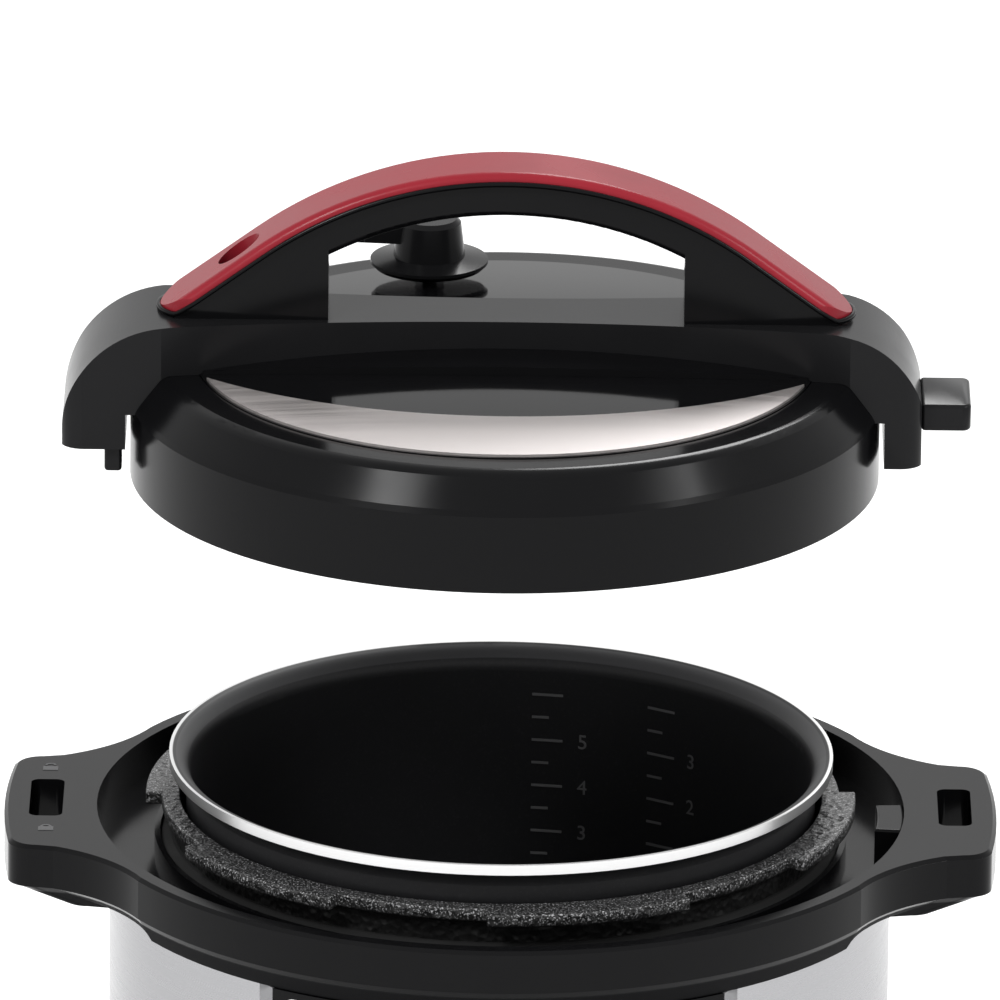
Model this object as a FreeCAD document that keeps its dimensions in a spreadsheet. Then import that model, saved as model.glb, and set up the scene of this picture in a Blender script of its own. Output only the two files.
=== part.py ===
"""Electric pressure cooker with its lid lifted off, as a parametric FreeCAD document.

Millimetres, +Z up, the control panel faces -Y, and the origin is under the middle of the feet.
Pieces of the lid are drawn from the lower edge of the lid's skirt and lifted by lid_lift.
"""
import math
import os

import FreeCAD, Part
import Sketcher

V = FreeCAD.Vector
doc = FreeCAD.newDocument("pressure_cooker")
sheet = doc.addObject("Spreadsheet::Sheet", "Sizes")
pieces = []


class Size:
    """A size that keeps its value together with the sheet expression it comes from."""

    def __init__(self, value, text):
        self.value = value
        self.text = text

    def joined(self, other, sign, value):
        text = other.text if isinstance(other, Size) else repr(other)
        return Size(value, "(" + self.text + " " + sign + " " + text + ")")

    def __add__(self, other):
        return self.joined(other, "+", self.value + number(other))

    def __sub__(self, other):
        return self.joined(other, "-", self.value - number(other))

    def __mul__(self, other):
        return self.joined(other, "*", self.value * number(other))

    def __truediv__(self, other):
        return self.joined(other, "/", self.value / number(other))

    def __neg__(self):
        return Size(-self.value, "(-1 * " + self.text + ")")


def number(size):
    return size.value if isinstance(size, Size) else float(size)


def driving(row, alias, value):
    """Put one driving dimension in the sheet and give it back as a Size."""
    sheet.set("A%d" % row, alias.replace("_", " "))
    sheet.set("B%d" % row, str(value))
    sheet.setAlias("B%d" % row, alias)
    return Size(value, "Sizes." + alias)


# Main sizes in millimetres and degrees
BASE_STACK = 69.0
COLLAR_HEIGHT = 24.0
COLLAR_WALL = 6.0
COLLAR_DRAW = 5.5
OPENING_GAP = 11.0
RECESS_DEPTH = 14.0
HANDLE_OUT = 26.0
HANDLE_HALF = 46.0
HANDLE_GAUGE = 15.0
SLOT_WIDE = 11.6
SLOT_LONG = 37.0
SLOT_INSET = 14.5
COLLAR_LAP = 10.5
SHELL_GAUGE = 0.7
TRAY_TOP = 44.0
TRAY_WALL = 3.0
FOOT_HEIGHT = 5.0
FOOT_INSET = 39.5
FIT_GAP = 0.3
RIM_RISE = 20.0
RIM_FLARE = 7.5
RIM_EDGE = 3.6
POT_RADIUS = 107.5
POT_WALL = 1.6
POT_DEPTH = 156.0
POT_CORNER = 18.0
CHAMBER_GAP = 2.2
CHAMBER_WALL = 1.8
FLANGE_DROP = 15.0
FLANGE_GAUGE = 4.5
LUG_REACH = 5.5
ROOT_GAP = 2.5
LUG_ANGLE = 34.0
HEATER_INSET = 9.5
HEATER_GAUGE = 10.7
ELEMENT_RADIUS = 70.0
ELEMENT_BORE = 4.2
SENSOR_RADIUS = 14.6
STEM_RADIUS = 4.5
WOOL_GAUGE = 5.6
HANDLE_DRAW = 19.0
EDGE_BEVEL = 1.2
PANEL_STAND = 5.5
PANEL_LOW = 76.0
PANEL_ANGLE = 66.0
STRIP_ANGLE = 3.6
KEY_WIDE = 18.0
KEY_HIGH = 9.0
KEY_PROUD = 0.5
KEY_TURN = 22.0
KEY_PITCH = 15.0
WIDE_KEY = 26.0
GLASS_WIDE = 56.0
GLASS_HIGH = 34.0
LID_HOVER = 123.0
LID_SEAT = 8.0
SKIRT_GAP = 6.0
SKIRT_WALL = 3.0
SKIRT_HEIGHT = 28.0
RING_TOP = 40.5
PLATE_INSET = 0.6
PLATE_GAUGE = 2.0
PLATE_RISE = 4.5
LINER_GAUGE = 1.4
LID_LUG_ANGLE = 21.0
BRIDGE_TOP = 58.0
LEFT_ARM = 23.0
RIGHT_ARM = 14.0
BRIDGE_WAIST = 13.0
BRIDGE_HALF = 24.0
GRIP_APEX = 111.5
GRIP_ARC = 146.0
GRIP_BEND = 86.0
GRIP_HALF = 14.0
CAP_GAUGE = 4.0
BEAM_GAUGE = 11.5
WINDOW_HALF = 61.0
FLOAT_INSET = 14.9
FLOAT_RADIUS = 3.6
VALVE_LEFT = 27.0
VALVE_INSET = 22.9
PIPE_RADIUS = 5.0
TAB_WIDE = 31.0
TAB_GAUGE = 9.5
TAB_OUT = 17.0
CUP_HALF = 24.0
CUP_HIGH = 56.0
CUP_OUT = 10.3

# Levels, from the pot's depth upwards
pot_depth = driving(25, "pot_depth", POT_DEPTH)
collar_top = pot_depth + driving(1, "base_stack", BASE_STACK)
lid_lift = collar_top + driving(53, "lid_hover", LID_HOVER)
lid_drop = lid_lift - collar_top + driving(54, "lid_seat", LID_SEAT)

# Radii, from the pot outwards
pot_radius = driving(23, "pot_radius", POT_RADIUS)
rim_radius = pot_radius + driving(21, "rim_flare", RIM_FLARE)
lug_root = rim_radius + driving(32, "root_gap", ROOT_GAP)
lug_radius = lug_root + driving(31, "lug_reach", LUG_REACH)
skirt_radius = lug_radius + driving(55, "skirt_gap", SKIRT_GAP)
opening_radius = skirt_radius + driving(5, "opening_gap", OPENING_GAP)
collar_radius = opening_radius + driving(3, "collar_wall", COLLAR_WALL)
shell_radius = collar_radius - driving(13, "collar_lap", COLLAR_LAP)
panel_radius = shell_radius + driving(41, "panel_stand", PANEL_STAND)
handle_reach = collar_radius + driving(7, "handle_out", HANDLE_OUT)
slot_reach = handle_reach - driving(12, "slot_inset", SLOT_INSET)
plate_radius = pot_radius - driving(59, "plate_inset", PLATE_INSET)
heater_radius = pot_radius - driving(34, "heater_inset", HEATER_INSET)
foot_reach = shell_radius - driving(18, "foot_inset", FOOT_INSET)
bridge_left = skirt_radius + driving(65, "left_arm", LEFT_ARM)
bridge_right = skirt_radius + driving(66, "right_arm", RIGHT_ARM)
tab_reach = bridge_right + driving(83, "tab_out", TAB_OUT)
cup_back = shell_radius + driving(86, "cup_out", CUP_OUT)

# Body of the cooker
collar_height = driving(2, "collar_height", COLLAR_HEIGHT)
collar_draw = driving(4, "collar_draw", COLLAR_DRAW)
recess_depth = driving(6, "recess_depth", RECESS_DEPTH)
handle_half = driving(8, "handle_half", HANDLE_HALF)
handle_gauge = driving(9, "handle_gauge", HANDLE_GAUGE)
slot_wide = driving(10, "slot_wide", SLOT_WIDE)
slot_long = driving(11, "slot_long", SLOT_LONG)
shell_gauge = driving(14, "shell_gauge", SHELL_GAUGE)
tray_top = driving(15, "tray_top", TRAY_TOP)
tray_wall = driving(16, "tray_wall", TRAY_WALL)
foot_height = driving(17, "foot_height", FOOT_HEIGHT)
fit_gap = driving(19, "fit_gap", FIT_GAP)

# Inner pot, outer pot and heater
rim_rise = driving(20, "rim_rise", RIM_RISE)
rim_edge = driving(22, "rim_edge", RIM_EDGE)
pot_wall = driving(24, "pot_wall", POT_WALL)
pot_corner = driving(26, "pot_corner", POT_CORNER)
chamber_gap = driving(27, "chamber_gap", CHAMBER_GAP)
chamber_wall = driving(28, "chamber_wall", CHAMBER_WALL)
flange_drop = driving(29, "flange_drop", FLANGE_DROP)
flange_gauge = driving(30, "flange_gauge", FLANGE_GAUGE)
lug_angle = driving(33, "lug_angle", LUG_ANGLE)
heater_gauge = driving(35, "heater_gauge", HEATER_GAUGE)
element_radius = driving(36, "element_radius", ELEMENT_RADIUS)
element_bore = driving(37, "element_bore", ELEMENT_BORE)
sensor_radius = driving(38, "sensor_radius", SENSOR_RADIUS)
stem_radius = driving(39, "stem_radius", STEM_RADIUS)
wool_gauge = driving(40, "wool_gauge", WOOL_GAUGE)
handle_draw = driving(87, "handle_draw", HANDLE_DRAW)
edge_bevel = driving(88, "edge_bevel", EDGE_BEVEL)

# Control panel
panel_low = driving(42, "panel_low", PANEL_LOW)
panel_angle = driving(43, "panel_angle", PANEL_ANGLE)
strip_angle = driving(44, "strip_angle", STRIP_ANGLE)
key_wide = driving(45, "key_wide", KEY_WIDE)
key_high = driving(46, "key_high", KEY_HIGH)
key_proud = driving(47, "key_proud", KEY_PROUD)
key_turn = driving(48, "key_turn", KEY_TURN)
key_pitch = driving(49, "key_pitch", KEY_PITCH)
wide_key = driving(50, "wide_key", WIDE_KEY)
glass_wide = driving(51, "glass_wide", GLASS_WIDE)
glass_high = driving(52, "glass_high", GLASS_HIGH)

# Lid, measured from the lower edge of its skirt
skirt_wall = driving(56, "skirt_wall", SKIRT_WALL)
skirt_height = driving(57, "skirt_height", SKIRT_HEIGHT)
ring_top = driving(58, "ring_top", RING_TOP)
plate_gauge = driving(60, "plate_gauge", PLATE_GAUGE)
plate_rise = driving(61, "plate_rise", PLATE_RISE)
liner_gauge = driving(62, "liner_gauge", LINER_GAUGE)
lid_lug_angle = driving(63, "lid_lug_angle", LID_LUG_ANGLE)
bridge_top = driving(64, "bridge_top", BRIDGE_TOP)
bridge_waist = driving(67, "bridge_waist", BRIDGE_WAIST)
bridge_half = driving(68, "bridge_half", BRIDGE_HALF)
grip_apex = driving(69, "grip_apex", GRIP_APEX)
grip_arc = driving(70, "grip_arc", GRIP_ARC)
grip_bend = driving(71, "grip_bend", GRIP_BEND)
grip_half = driving(72, "grip_half", GRIP_HALF)
cap_gauge = driving(73, "cap_gauge", CAP_GAUGE)
beam_gauge = driving(74, "beam_gauge", BEAM_GAUGE)
window_half = driving(75, "window_half", WINDOW_HALF)
float_reach = plate_radius - driving(76, "float_inset", FLOAT_INSET)
float_radius = driving(77, "float_radius", FLOAT_RADIUS)
valve_left = driving(78, "valve_left", VALVE_LEFT)
valve_back = plate_radius - driving(79, "valve_inset", VALVE_INSET)
pipe_radius = driving(80, "pipe_radius", PIPE_RADIUS)
tab_wide = driving(81, "tab_wide", TAB_WIDE)
tab_gauge = driving(82, "tab_gauge", TAB_GAUGE)
cup_half = driving(84, "cup_half", CUP_HALF)
cup_high = driving(85, "cup_high", CUP_HIGH)
doc.recompute()

LUGS = 6
LUG_PHASE = -15.0
TURN = 30.0


def origin_part(body, role):
    for feature in body.Origin.OriginFeatures:
        if feature.Role == role:
            return feature
    raise ValueError("no origin feature " + role)


def new_body(label, lift=None, turn=None, at=None):
    """Start a PartDesign body, moved, lifted and turned about Z by sheet sizes where given."""
    body = doc.addObject("PartDesign::Body", label)
    body.Label = label
    if at is not None:
        body.Placement = FreeCAD.Placement(V(number(at[0]), number(at[1]), 0), FreeCAD.Rotation())
        body.setExpression("Placement.Base.x", at[0].text)
        body.setExpression("Placement.Base.y", at[1].text)
    if turn is not None:
        body.Placement = FreeCAD.Placement(V(0, 0, 0), FreeCAD.Rotation(V(0, 0, 1), number(turn)))
        if isinstance(turn, Size):
            body.setExpression("Placement.Rotation.Angle", turn.text)
    if lift is not None:
        place = body.Placement
        place.Base = V(place.Base.x, place.Base.y, number(lift))
        body.Placement = place
        body.setExpression("Placement.Base.z", lift.text)
    return body


def new_sketch(body, plane, name, offset=None, turn=None):
    """A sketch on an origin plane, set off along its normal or turned about its upright axis."""
    sketch = body.newObject("Sketcher::SketchObject", name)
    sketch.AttachmentSupport = (origin_part(body, plane + "_Plane"), [""])
    sketch.MapMode = "FlatFace"
    if turn is not None:
        sketch.AttachmentOffset = FreeCAD.Placement(V(0, 0, 0),
                                                    FreeCAD.Rotation(V(0, 1, 0), number(turn)))
        sketch.setExpression("AttachmentOffset.Rotation.Angle", turn.text)
    if offset is not None:
        sketch.AttachmentOffset = FreeCAD.Placement(V(0, 0, number(offset)), FreeCAD.Rotation())
        if isinstance(offset, Size):
            sketch.setExpression("AttachmentOffset.Base.z", offset.text)
    return sketch


def pin(sketch, geometry, end, across, up):
    """Tie one end of a sketch line to the origin by two distances taken from the sheet."""
    for kind, axis, size in (("DistanceX", -2, across), ("DistanceY", -1, up)):
        if abs(number(size)) < 1e-6:
            sketch.addConstraint(Sketcher.Constraint("PointOnObject", geometry, end, axis))
            continue
        rule = Sketcher.Constraint(kind, -1, 1, geometry, end, number(size))
        index = sketch.addConstraint(rule)
        if isinstance(size, Size):
            sketch.setExpression("Constraints[%d]" % index, size.text)


def arc_between(start, end, radius):
    """Short arc from start to end: a positive radius has its centre on the left of the way."""
    chord = end - start
    reach = abs(number(radius))
    rise = math.sqrt(max(reach * reach - chord.Length * chord.Length / 4, 0.0))
    left = V(-chord.y, chord.x, 0).normalize()
    side = 1.0 if number(radius) > 0 else -1.0
    centre = (start + end) * 0.5 + left * (rise * side)
    middle = centre - left * (reach * side)
    return Part.ArcOfCircle(start, middle, end)


def outline(sketch, corners):
    """Close a loop of lines and arcs: a corner with a third value starts an arc of that radius."""
    points = [V(number(corner[0]), number(corner[1]), 0) for corner in corners]
    first = sketch.GeometryCount
    ends = []
    for index, corner in enumerate(corners):
        start = points[index]
        end = points[(index + 1) % len(points)]
        if len(corner) == 2:
            sketch.addGeometry(Part.LineSegment(start, end), False)
            ends.append((1, 2))
            continue
        sketch.addGeometry(arc_between(start, end, corner[2]), False)
        ends.append((1, 2) if number(corner[2]) > 0 else (2, 1))
    for index, corner in enumerate(corners):
        after = (index + 1) % len(corners)
        joint = Sketcher.Constraint("Coincident", first + index, ends[index][1], first + after,
                                    ends[after][0])
        sketch.addConstraint(joint)
    for index, corner in enumerate(corners):
        pin(sketch, first + index, ends[index][0], corner[0], corner[1])
        if len(corner) == 3:
            size = corner[2] if number(corner[2]) > 0 else -corner[2]
            rule = sketch.addConstraint(Sketcher.Constraint("Radius", first + index, number(size)))
            if isinstance(size, Size):
                sketch.setExpression("Constraints[%d]" % rule, size.text)


def circle(sketch, across, up, radius):
    index = sketch.addGeometry(Part.Circle(V(number(across), number(up), 0), V(0, 0, 1),
                                           number(radius)), False)
    pin(sketch, index, 3, across, up)
    rule = sketch.addConstraint(Sketcher.Constraint("Radius", index, number(radius)))
    if isinstance(radius, Size):
        sketch.setExpression("Constraints[%d]" % rule, radius.text)


def bind(feature, name, size):
    setattr(feature, name, number(size))
    if isinstance(size, Size):
        feature.setExpression(name, size.text)


def pad(body, sketch, length, both=False, down=False, taper=None):
    feature = body.newObject("PartDesign::Pad", sketch.Name + "_pad")
    feature.Profile = sketch
    bind(feature, "Length", length)
    feature.Midplane = both
    feature.Reversed = down
    if taper is not None:
        bind(feature, "TaperAngle", taper)
    doc.recompute()
    return feature


def pocket(body, sketch, length=None, both=False, up=False):
    before = body.Shape.Volume
    feature = body.newObject("PartDesign::Pocket", sketch.Name + "_pocket")
    feature.Profile = sketch
    if length is None:
        feature.Type = "ThroughAll"
    else:
        bind(feature, "Length", length)
    feature.Midplane = both
    feature.Reversed = up
    doc.recompute()
    if not body.Shape.Volume < before:
        raise ValueError(sketch.Name + " cuts nothing")
    return feature


def turned(body, corners, name="profile", angle=None, plane="XZ"):
    """Revolve a loop of (radius, height) corners about Z, or part of the way round the front."""
    sketch = new_sketch(body, plane, body.Name + "_" + name)
    outline(sketch, corners)
    feature = body.newObject("PartDesign::Revolution", sketch.Name + "_turn")
    feature.Profile = sketch
    feature.ReferenceAxis = (sketch, ["V_Axis"])
    if angle is not None:
        bind(feature, "Angle", angle)
        feature.Midplane = True
    doc.recompute()
    return feature


def groove(body, corners, name, angle=None, plane="XZ", turn=None):
    before = body.Shape.Volume
    sketch = new_sketch(body, plane, body.Name + "_" + name, turn=turn)
    outline(sketch, corners)
    feature = body.newObject("PartDesign::Groove", sketch.Name + "_cut")
    feature.Profile = sketch
    feature.ReferenceAxis = (sketch, ["V_Axis"])
    if angle is not None:
        bind(feature, "Angle", angle)
        feature.Midplane = True
    doc.recompute()
    if not body.Shape.Volume < before:
        raise ValueError(sketch.Name + " cuts nothing")
    return feature


def polar(body, feature, count):
    pattern = body.newObject("PartDesign::PolarPattern", feature.Name + "_round")
    pattern.Originals = [feature]
    pattern.Axis = (origin_part(body, "Z_Axis"), [""])
    pattern.Angle = 360
    pattern.Occurrences = count
    body.Tip = pattern
    doc.recompute()
    return pattern


def rounded(body, radius, wanted):
    """Fillet the edges of the body's last feature that the test picks by their middle point."""
    base = body.Tip
    names = []
    for index, edge in enumerate(base.Shape.Edges):
        box = edge.BoundBox
        if wanted(edge, box):
            names.append("Edge%d" % (index + 1))
    if not names:
        raise ValueError("no edge to round on " + body.Name)
    feature = body.newObject("PartDesign::Fillet", body.Name + "_round%d" % len(names))
    feature.Base = (base, names)
    bind(feature, "Radius", radius)
    doc.recompute()
    return feature


def root(size):
    return Size(math.sqrt(size.value), "sqrt(" + size.text + ")")


def swept(width, radius):
    """Angle in degrees that a width takes up on a radius."""
    return (width / radius) * (180.0 / math.pi)


def rectangle(left, right, low, high):
    return [(left, low), (right, low), (right, high), (left, high)]


def soft_rectangle(left, right, low, high, radius):
    """Corners of a rectangle whose four corners are arcs."""
    return [
        (left + radius, low),
        (right - radius, low, radius),
        (right, low + radius),
        (right, high - radius, radius),
        (right - radius, high),
        (left + radius, high, radius),
        (left, high - radius),
        (left, low + radius, radius),
    ]


def sector(inner, outer, start, end):
    """Corners of a ring sector between two angles in degrees, for two arcs and two lines."""
    first = math.radians(start)
    last = math.radians(end)
    return [
        (inner * math.cos(first), inner * math.sin(first)),
        (outer * math.cos(first), outer * math.sin(first), outer),
        (outer * math.cos(last), outer * math.sin(last)),
        (inner * math.cos(last), inner * math.sin(last), -inner),
    ]


def piece(item, label=None):
    """Hand a finished object in as a sub-part under its own label."""
    if label is not None:
        item.Label = label
    pieces.append(item)
    return item


def boolean(kind, label, base, tool):
    item = doc.addObject("Part::" + kind, label)
    item.Base = base
    item.Tool = tool
    doc.recompute()
    return item


def bar(label, left, right, front, back, low, high, lift=None):
    """A straight block as a padded body."""
    body = new_body(label, lift)
    sketch = new_sketch(body, "XY", label + "_plan", low)
    outline(sketch, rectangle(left, right, front, back))
    pad(body, sketch, high - low)
    return body


# Levels that tie the pieces together
collar_low = collar_top - collar_height
recess_floor = collar_top - recess_depth
rim_top = collar_top + rim_rise
pot_floor = rim_top - pot_depth
pot_base = pot_floor - pot_wall - 0.4
pot_skin = pot_radius + pot_wall
heater_top = pot_base - fit_gap
heater_low = heater_top - heater_gauge
chamber_floor = heater_low - 8.0
chamber_base = chamber_floor - chamber_wall
chamber_in = pot_skin + chamber_gap
chamber_out = chamber_in + chamber_wall
flange_top = rim_top - flange_drop
flange_low = flange_top - flange_gauge
tray_floor = foot_height + 3.5
shell_in = shell_radius - shell_gauge
shell_top = collar_low + 2.0
dam_radius = lug_root + 0.5


# Base tray with its posts, standoffs and vents
tray = new_body("base_tray")
turned(tray, [
    (0, foot_height),
    (shell_radius - 12.0, foot_height),
    (shell_radius - 3.0, foot_height + 8.0),
    (shell_radius + 1.5, tray_top),
    (shell_radius + fit_gap, tray_top),
    (shell_radius + fit_gap, tray_top - 6.0),
    (shell_radius - tray_wall - 1.5, tray_top - 6.0),
    (shell_radius - tray_wall - 3.0, tray_floor + 6.0),
    (shell_radius - 15.0, tray_floor),
    (0, tray_floor),
])
posts = new_sketch(tray, "XY", "tray_post", tray_floor)
circle(posts, 0, Size(88.0, "88"), 6.5)
polar(tray, pad(tray, posts, chamber_base - tray_floor), 3)
stand = new_sketch(tray, "XY", "tray_stand", tray_floor)
for across in (-44.0, 44.0):
    for along in (-46.0, 12.0):
        circle(stand, across, along, 4.0)
tray.Tip = pad(tray, stand, Size(10.0, "10"))
vents = new_sketch(tray, "XY", "tray_vent", foot_height)
outline(vents, sector(Size(24.0, "24"), Size(58.0, "58"), 86.0, 94.0))
vent_cut = pocket(tray, vents, Size(5.0, "5"), up=True)
polar(tray, vent_cut, 12)
socket = new_sketch(tray, "XZ", "tray_socket", Size(-150.0, "-150"))
outline(socket, rectangle(-14.3, 14.3, tray_floor + 7.2, tray_floor + 27.8))
pocket(tray, socket, Size(40.0, "40"), up=True)
piece(tray)

feet = []
for index in range(4):
    turn = math.radians(45 + 90 * index)
    foot = doc.addObject("Part::Cone", "foot_%d" % (index + 1))
    bind(foot, "Radius1", 9.0)
    bind(foot, "Radius2", 11.0)
    bind(foot, "Height", foot_height)
    foot.setExpression("Placement.Base.x", (foot_reach * math.cos(turn)).text)
    foot.setExpression("Placement.Base.y", (foot_reach * math.sin(turn)).text)
    feet.append(foot)
foot_set = doc.addObject("Part::Compound", "rubber_feet")
foot_set.Links = feet
piece(foot_set)

# Steel shell with its windows for the panel and the condensate cup
shell = new_body("outer_shell")
turned(shell, rectangle(shell_in, shell_radius, tray_top - 6.0, shell_top))
window = new_sketch(shell, "XZ", "shell_window", Size(100.0, "100"))
outline(window, rectangle(-67.0, 67.0, panel_low + 3.0, collar_low - 5.0))
pocket(shell, window, Size(60.0, "60"), up=True)
niche = new_sketch(shell, "XZ", "shell_niche", Size(-100.0, "-100"))
outline(niche, rectangle(-cup_half - 3.3, cup_half + 3.3, collar_low - 80.3, collar_low - 10.7))
pocket(shell, niche, Size(60.0, "60"))
piece(shell)

# Collar with its two handles, drawn in plan and cut by turned profiles
collar = new_body("top_collar")
flare = Size(62.0, "62")
corner = Size(8.7, "8.7")
bow = Size(322.0, "322")


def collar_plan(name, level, radius, reach, half):
    """Outline of the collar at one level: two ring arcs, four hollow flares and two bowed ends."""
    sketch = new_sketch(collar, "XY", name, level)
    join_x = radius * 0.849
    join_y = radius * 0.528
    neck_x = reach - 18.0
    neck_y = half + 1.6
    tip_x = reach - 11.0
    tip_y = half + 0.2
    end_x = reach - 2.2
    end_y = half - 8.2
    outline(sketch, [
        (join_x, -join_y, -flare),
        (neck_x, -neck_y),
        (tip_x, -tip_y, corner),
        (end_x, -end_y, bow),
        (end_x, end_y, corner),
        (tip_x, tip_y),
        (neck_x, neck_y, -flare),
        (join_x, join_y, radius),
        (-join_x, join_y, -flare),
        (-neck_x, neck_y),
        (-tip_x, tip_y, corner),
        (-end_x, end_y, bow),
        (-end_x, -end_y, corner),
        (-tip_x, -tip_y),
        (-neck_x, -neck_y, -flare),
        (-join_x, -join_y, radius),
    ])
    return sketch


def collar_loft(name, start, finish):
    feature = collar.newObject("PartDesign::AdditiveLoft", name)
    feature.Profile = start
    feature.Sections = [finish]
    feature.Ruled = True
    doc.recompute()


upper = collar_plan("collar_upper", collar_top - edge_bevel, collar_radius, handle_reach, handle_half)
pad(collar, upper, handle_gauge - edge_bevel, down=True)
middle = collar_plan("collar_middle", collar_top - handle_gauge, collar_radius - 0.4,
                     handle_reach - 0.4, handle_half - 0.4)
lower = collar_plan("collar_lower", collar_low, collar_radius - collar_draw,
                    handle_reach - handle_draw, handle_half - collar_draw)
collar_loft("collar_underside", middle, lower)
border = collar_plan("collar_border", collar_top - edge_bevel, collar_radius - 0.02,
                     handle_reach - 0.02, handle_half - 0.02)
crown = collar_plan("collar_crown", collar_top, collar_radius - edge_bevel,
                    handle_reach - edge_bevel, handle_half - edge_bevel)
collar_loft("collar_edge", border, crown)
groove(collar, [
    (0, collar_top + 5.0),
    (opening_radius, collar_top + 5.0),
    (opening_radius, recess_floor),
    (dam_radius + 2.0, recess_floor),
    (dam_radius + 2.0, recess_floor + 5.0),
    (dam_radius, recess_floor + 5.0),
    (dam_radius, collar_low - 5.0),
    (0, collar_low - 5.0),
], "opening")
groove(collar, rectangle(dam_radius - 5.0, shell_radius + fit_gap, collar_low - 5.0,
                         recess_floor - 2.5), "skirt")
slots = new_sketch(collar, "XY", "collar_slot", collar_top)
for side in (1.0, -1.0):
    middle = slot_reach * side
    outline(slots, soft_rectangle(middle - slot_wide / 2, middle + slot_wide / 2,
                                  Size(3.0, "3") - slot_long / 2,
                                  Size(3.0, "3") + slot_long / 2, Size(3.0, "3")))
pocket(collar, slots)
piece(collar)

# Block on the right of the recess that the closed lid comes up to
block = new_body("lid_guide_block")
ground = new_sketch(block, "XY", "block_plan", recess_floor)
outline(ground, sector(skirt_radius + 1.5, opening_radius - 0.05, -7.0, 4.0))
pad(block, ground, recess_depth - 1.5)
rounded(block, Size(1.0, "1"), lambda edge, box: box.ZMin > number(collar_top) - 1.6)
piece(block)

# Outer pot with its bayonet flange
chamber = new_body("outer_pot")
turned(chamber, [
    (sensor_radius + 5.4, chamber_base),
    (chamber_out - 9.0, chamber_base, Size(9.0, "9")),
    (chamber_out, chamber_base + 9.0),
    (chamber_out, flange_low - 4.0, -Size(4.6, "4.6")),
    (lug_root, flange_low),
    (lug_root, flange_top),
    (chamber_in, flange_top),
    (chamber_in, chamber_floor + 7.2, -Size(7.2, "7.2")),
    (chamber_in - 7.2, chamber_floor),
    (sensor_radius + 5.4, chamber_floor),
])
lugs = new_sketch(chamber, "XY", "chamber_lug", flange_low)
outline(lugs, sector(lug_root - 1.5, lug_radius, LUG_PHASE - number(lug_angle) / 2,
                     LUG_PHASE + number(lug_angle) / 2))
polar(chamber, pad(chamber, lugs, flange_gauge), LUGS)
piece(chamber)

seal = new_body("collar_seal")
turned(seal, [
    (chamber_out + 0.1, recess_floor - 2.0),
    (dam_radius - 0.1, recess_floor - 2.0),
    (dam_radius - 0.1, recess_floor + 3.5),
    (chamber_out + 1.4, recess_floor + 5.5),
    (chamber_out + 0.1, recess_floor + 5.5),
])
piece(seal)

wool = new_body("heat_insulation")
turned(wool, rectangle(chamber_out + 0.1, chamber_out + 0.1 + wool_gauge, chamber_base + 12.0,
                       collar_low - 4.0))
piece(wool)

# Heating plate with its element, and the sprung sensor in its middle
heater_blank = new_body("heater_blank")
turned(heater_blank, [
    (sensor_radius + 0.4, heater_low),
    (element_radius + 12.0, heater_low),
    (heater_radius - 3.0, heater_low + 5.0),
    (heater_radius, heater_low + 7.0),
    (heater_radius, heater_top - 1.0),
    (heater_radius - 1.0, heater_top),
    (sensor_radius + 0.4, heater_top),
])
legs = new_sketch(heater_blank, "XY", "heater_leg", chamber_floor)
circle(legs, 0, element_radius - 14.0, 6.0)
polar(heater_blank, pad(heater_blank, legs, heater_low - chamber_floor + 2.0), 3)
element = doc.addObject("Part::Torus", "heating_element")
bind(element, "Radius1", element_radius)
bind(element, "Radius2", element_bore)
element.setExpression("Placement.Base.z", (heater_low - 1.0).text)
doc.recompute()
piece(boolean("Cut", "heating_plate", heater_blank, element))
piece(element)

bracket = new_body("sensor_bracket")
turned(bracket, [
    (stem_radius + 0.4, chamber_base - 12.0),
    (sensor_radius + 3.7, chamber_base - 12.0),
    (sensor_radius + 3.7, chamber_base - 1.5),
    (sensor_radius + 9.4, chamber_base - 1.5),
    (sensor_radius + 9.4, chamber_base),
    (sensor_radius + 2.4, chamber_base),
    (sensor_radius + 2.4, chamber_base - 10.5),
    (stem_radius + 0.4, chamber_base - 10.5),
])
piece(bracket)

sensor = new_body("temperature_sensor")
turned(sensor, [
    (0, chamber_base - 16.0),
    (stem_radius, chamber_base - 16.0),
    (stem_radius, heater_top - 7.0),
    (sensor_radius, heater_top - 7.0),
    (sensor_radius, heater_top - 1.5),
    (sensor_radius - 1.5, heater_top),
    (0, heater_top),
])
piece(sensor)

# The sensor's spring is one unbroken coil on a helix
spring_low = chamber_base - 10.5 + 0.9
spring_high = heater_top - 7.0 - 0.9
coil = doc.addObject("Part::Helix", "spring_line")
bind(coil, "Radius", stem_radius + 3.6)
bind(coil, "Height", spring_high - spring_low)
bind(coil, "Pitch", (spring_high - spring_low) / 6.0)
coil.setExpression("Placement.Base.z", spring_low.text)
wire = doc.addObject("Part::Circle", "spring_wire")
bind(wire, "Radius", 0.8)
wire.Placement = FreeCAD.Placement(V(0, 0, 0), FreeCAD.Rotation(V(1, 0, 0), 90))
wire.setExpression("Placement.Base.x", (stem_radius + 3.6).text)
wire.setExpression("Placement.Base.z", spring_low.text)
spring = doc.addObject("Part::Sweep", "sensor_spring")
spring.Sections = [wire]
doc.recompute()
spring.Spine = (coil, ["Edge%d" % (index + 1) for index in range(len(coil.Shape.Edges))])
spring.Solid = True
spring.Frenet = True
doc.recompute()
piece(spring)

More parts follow.
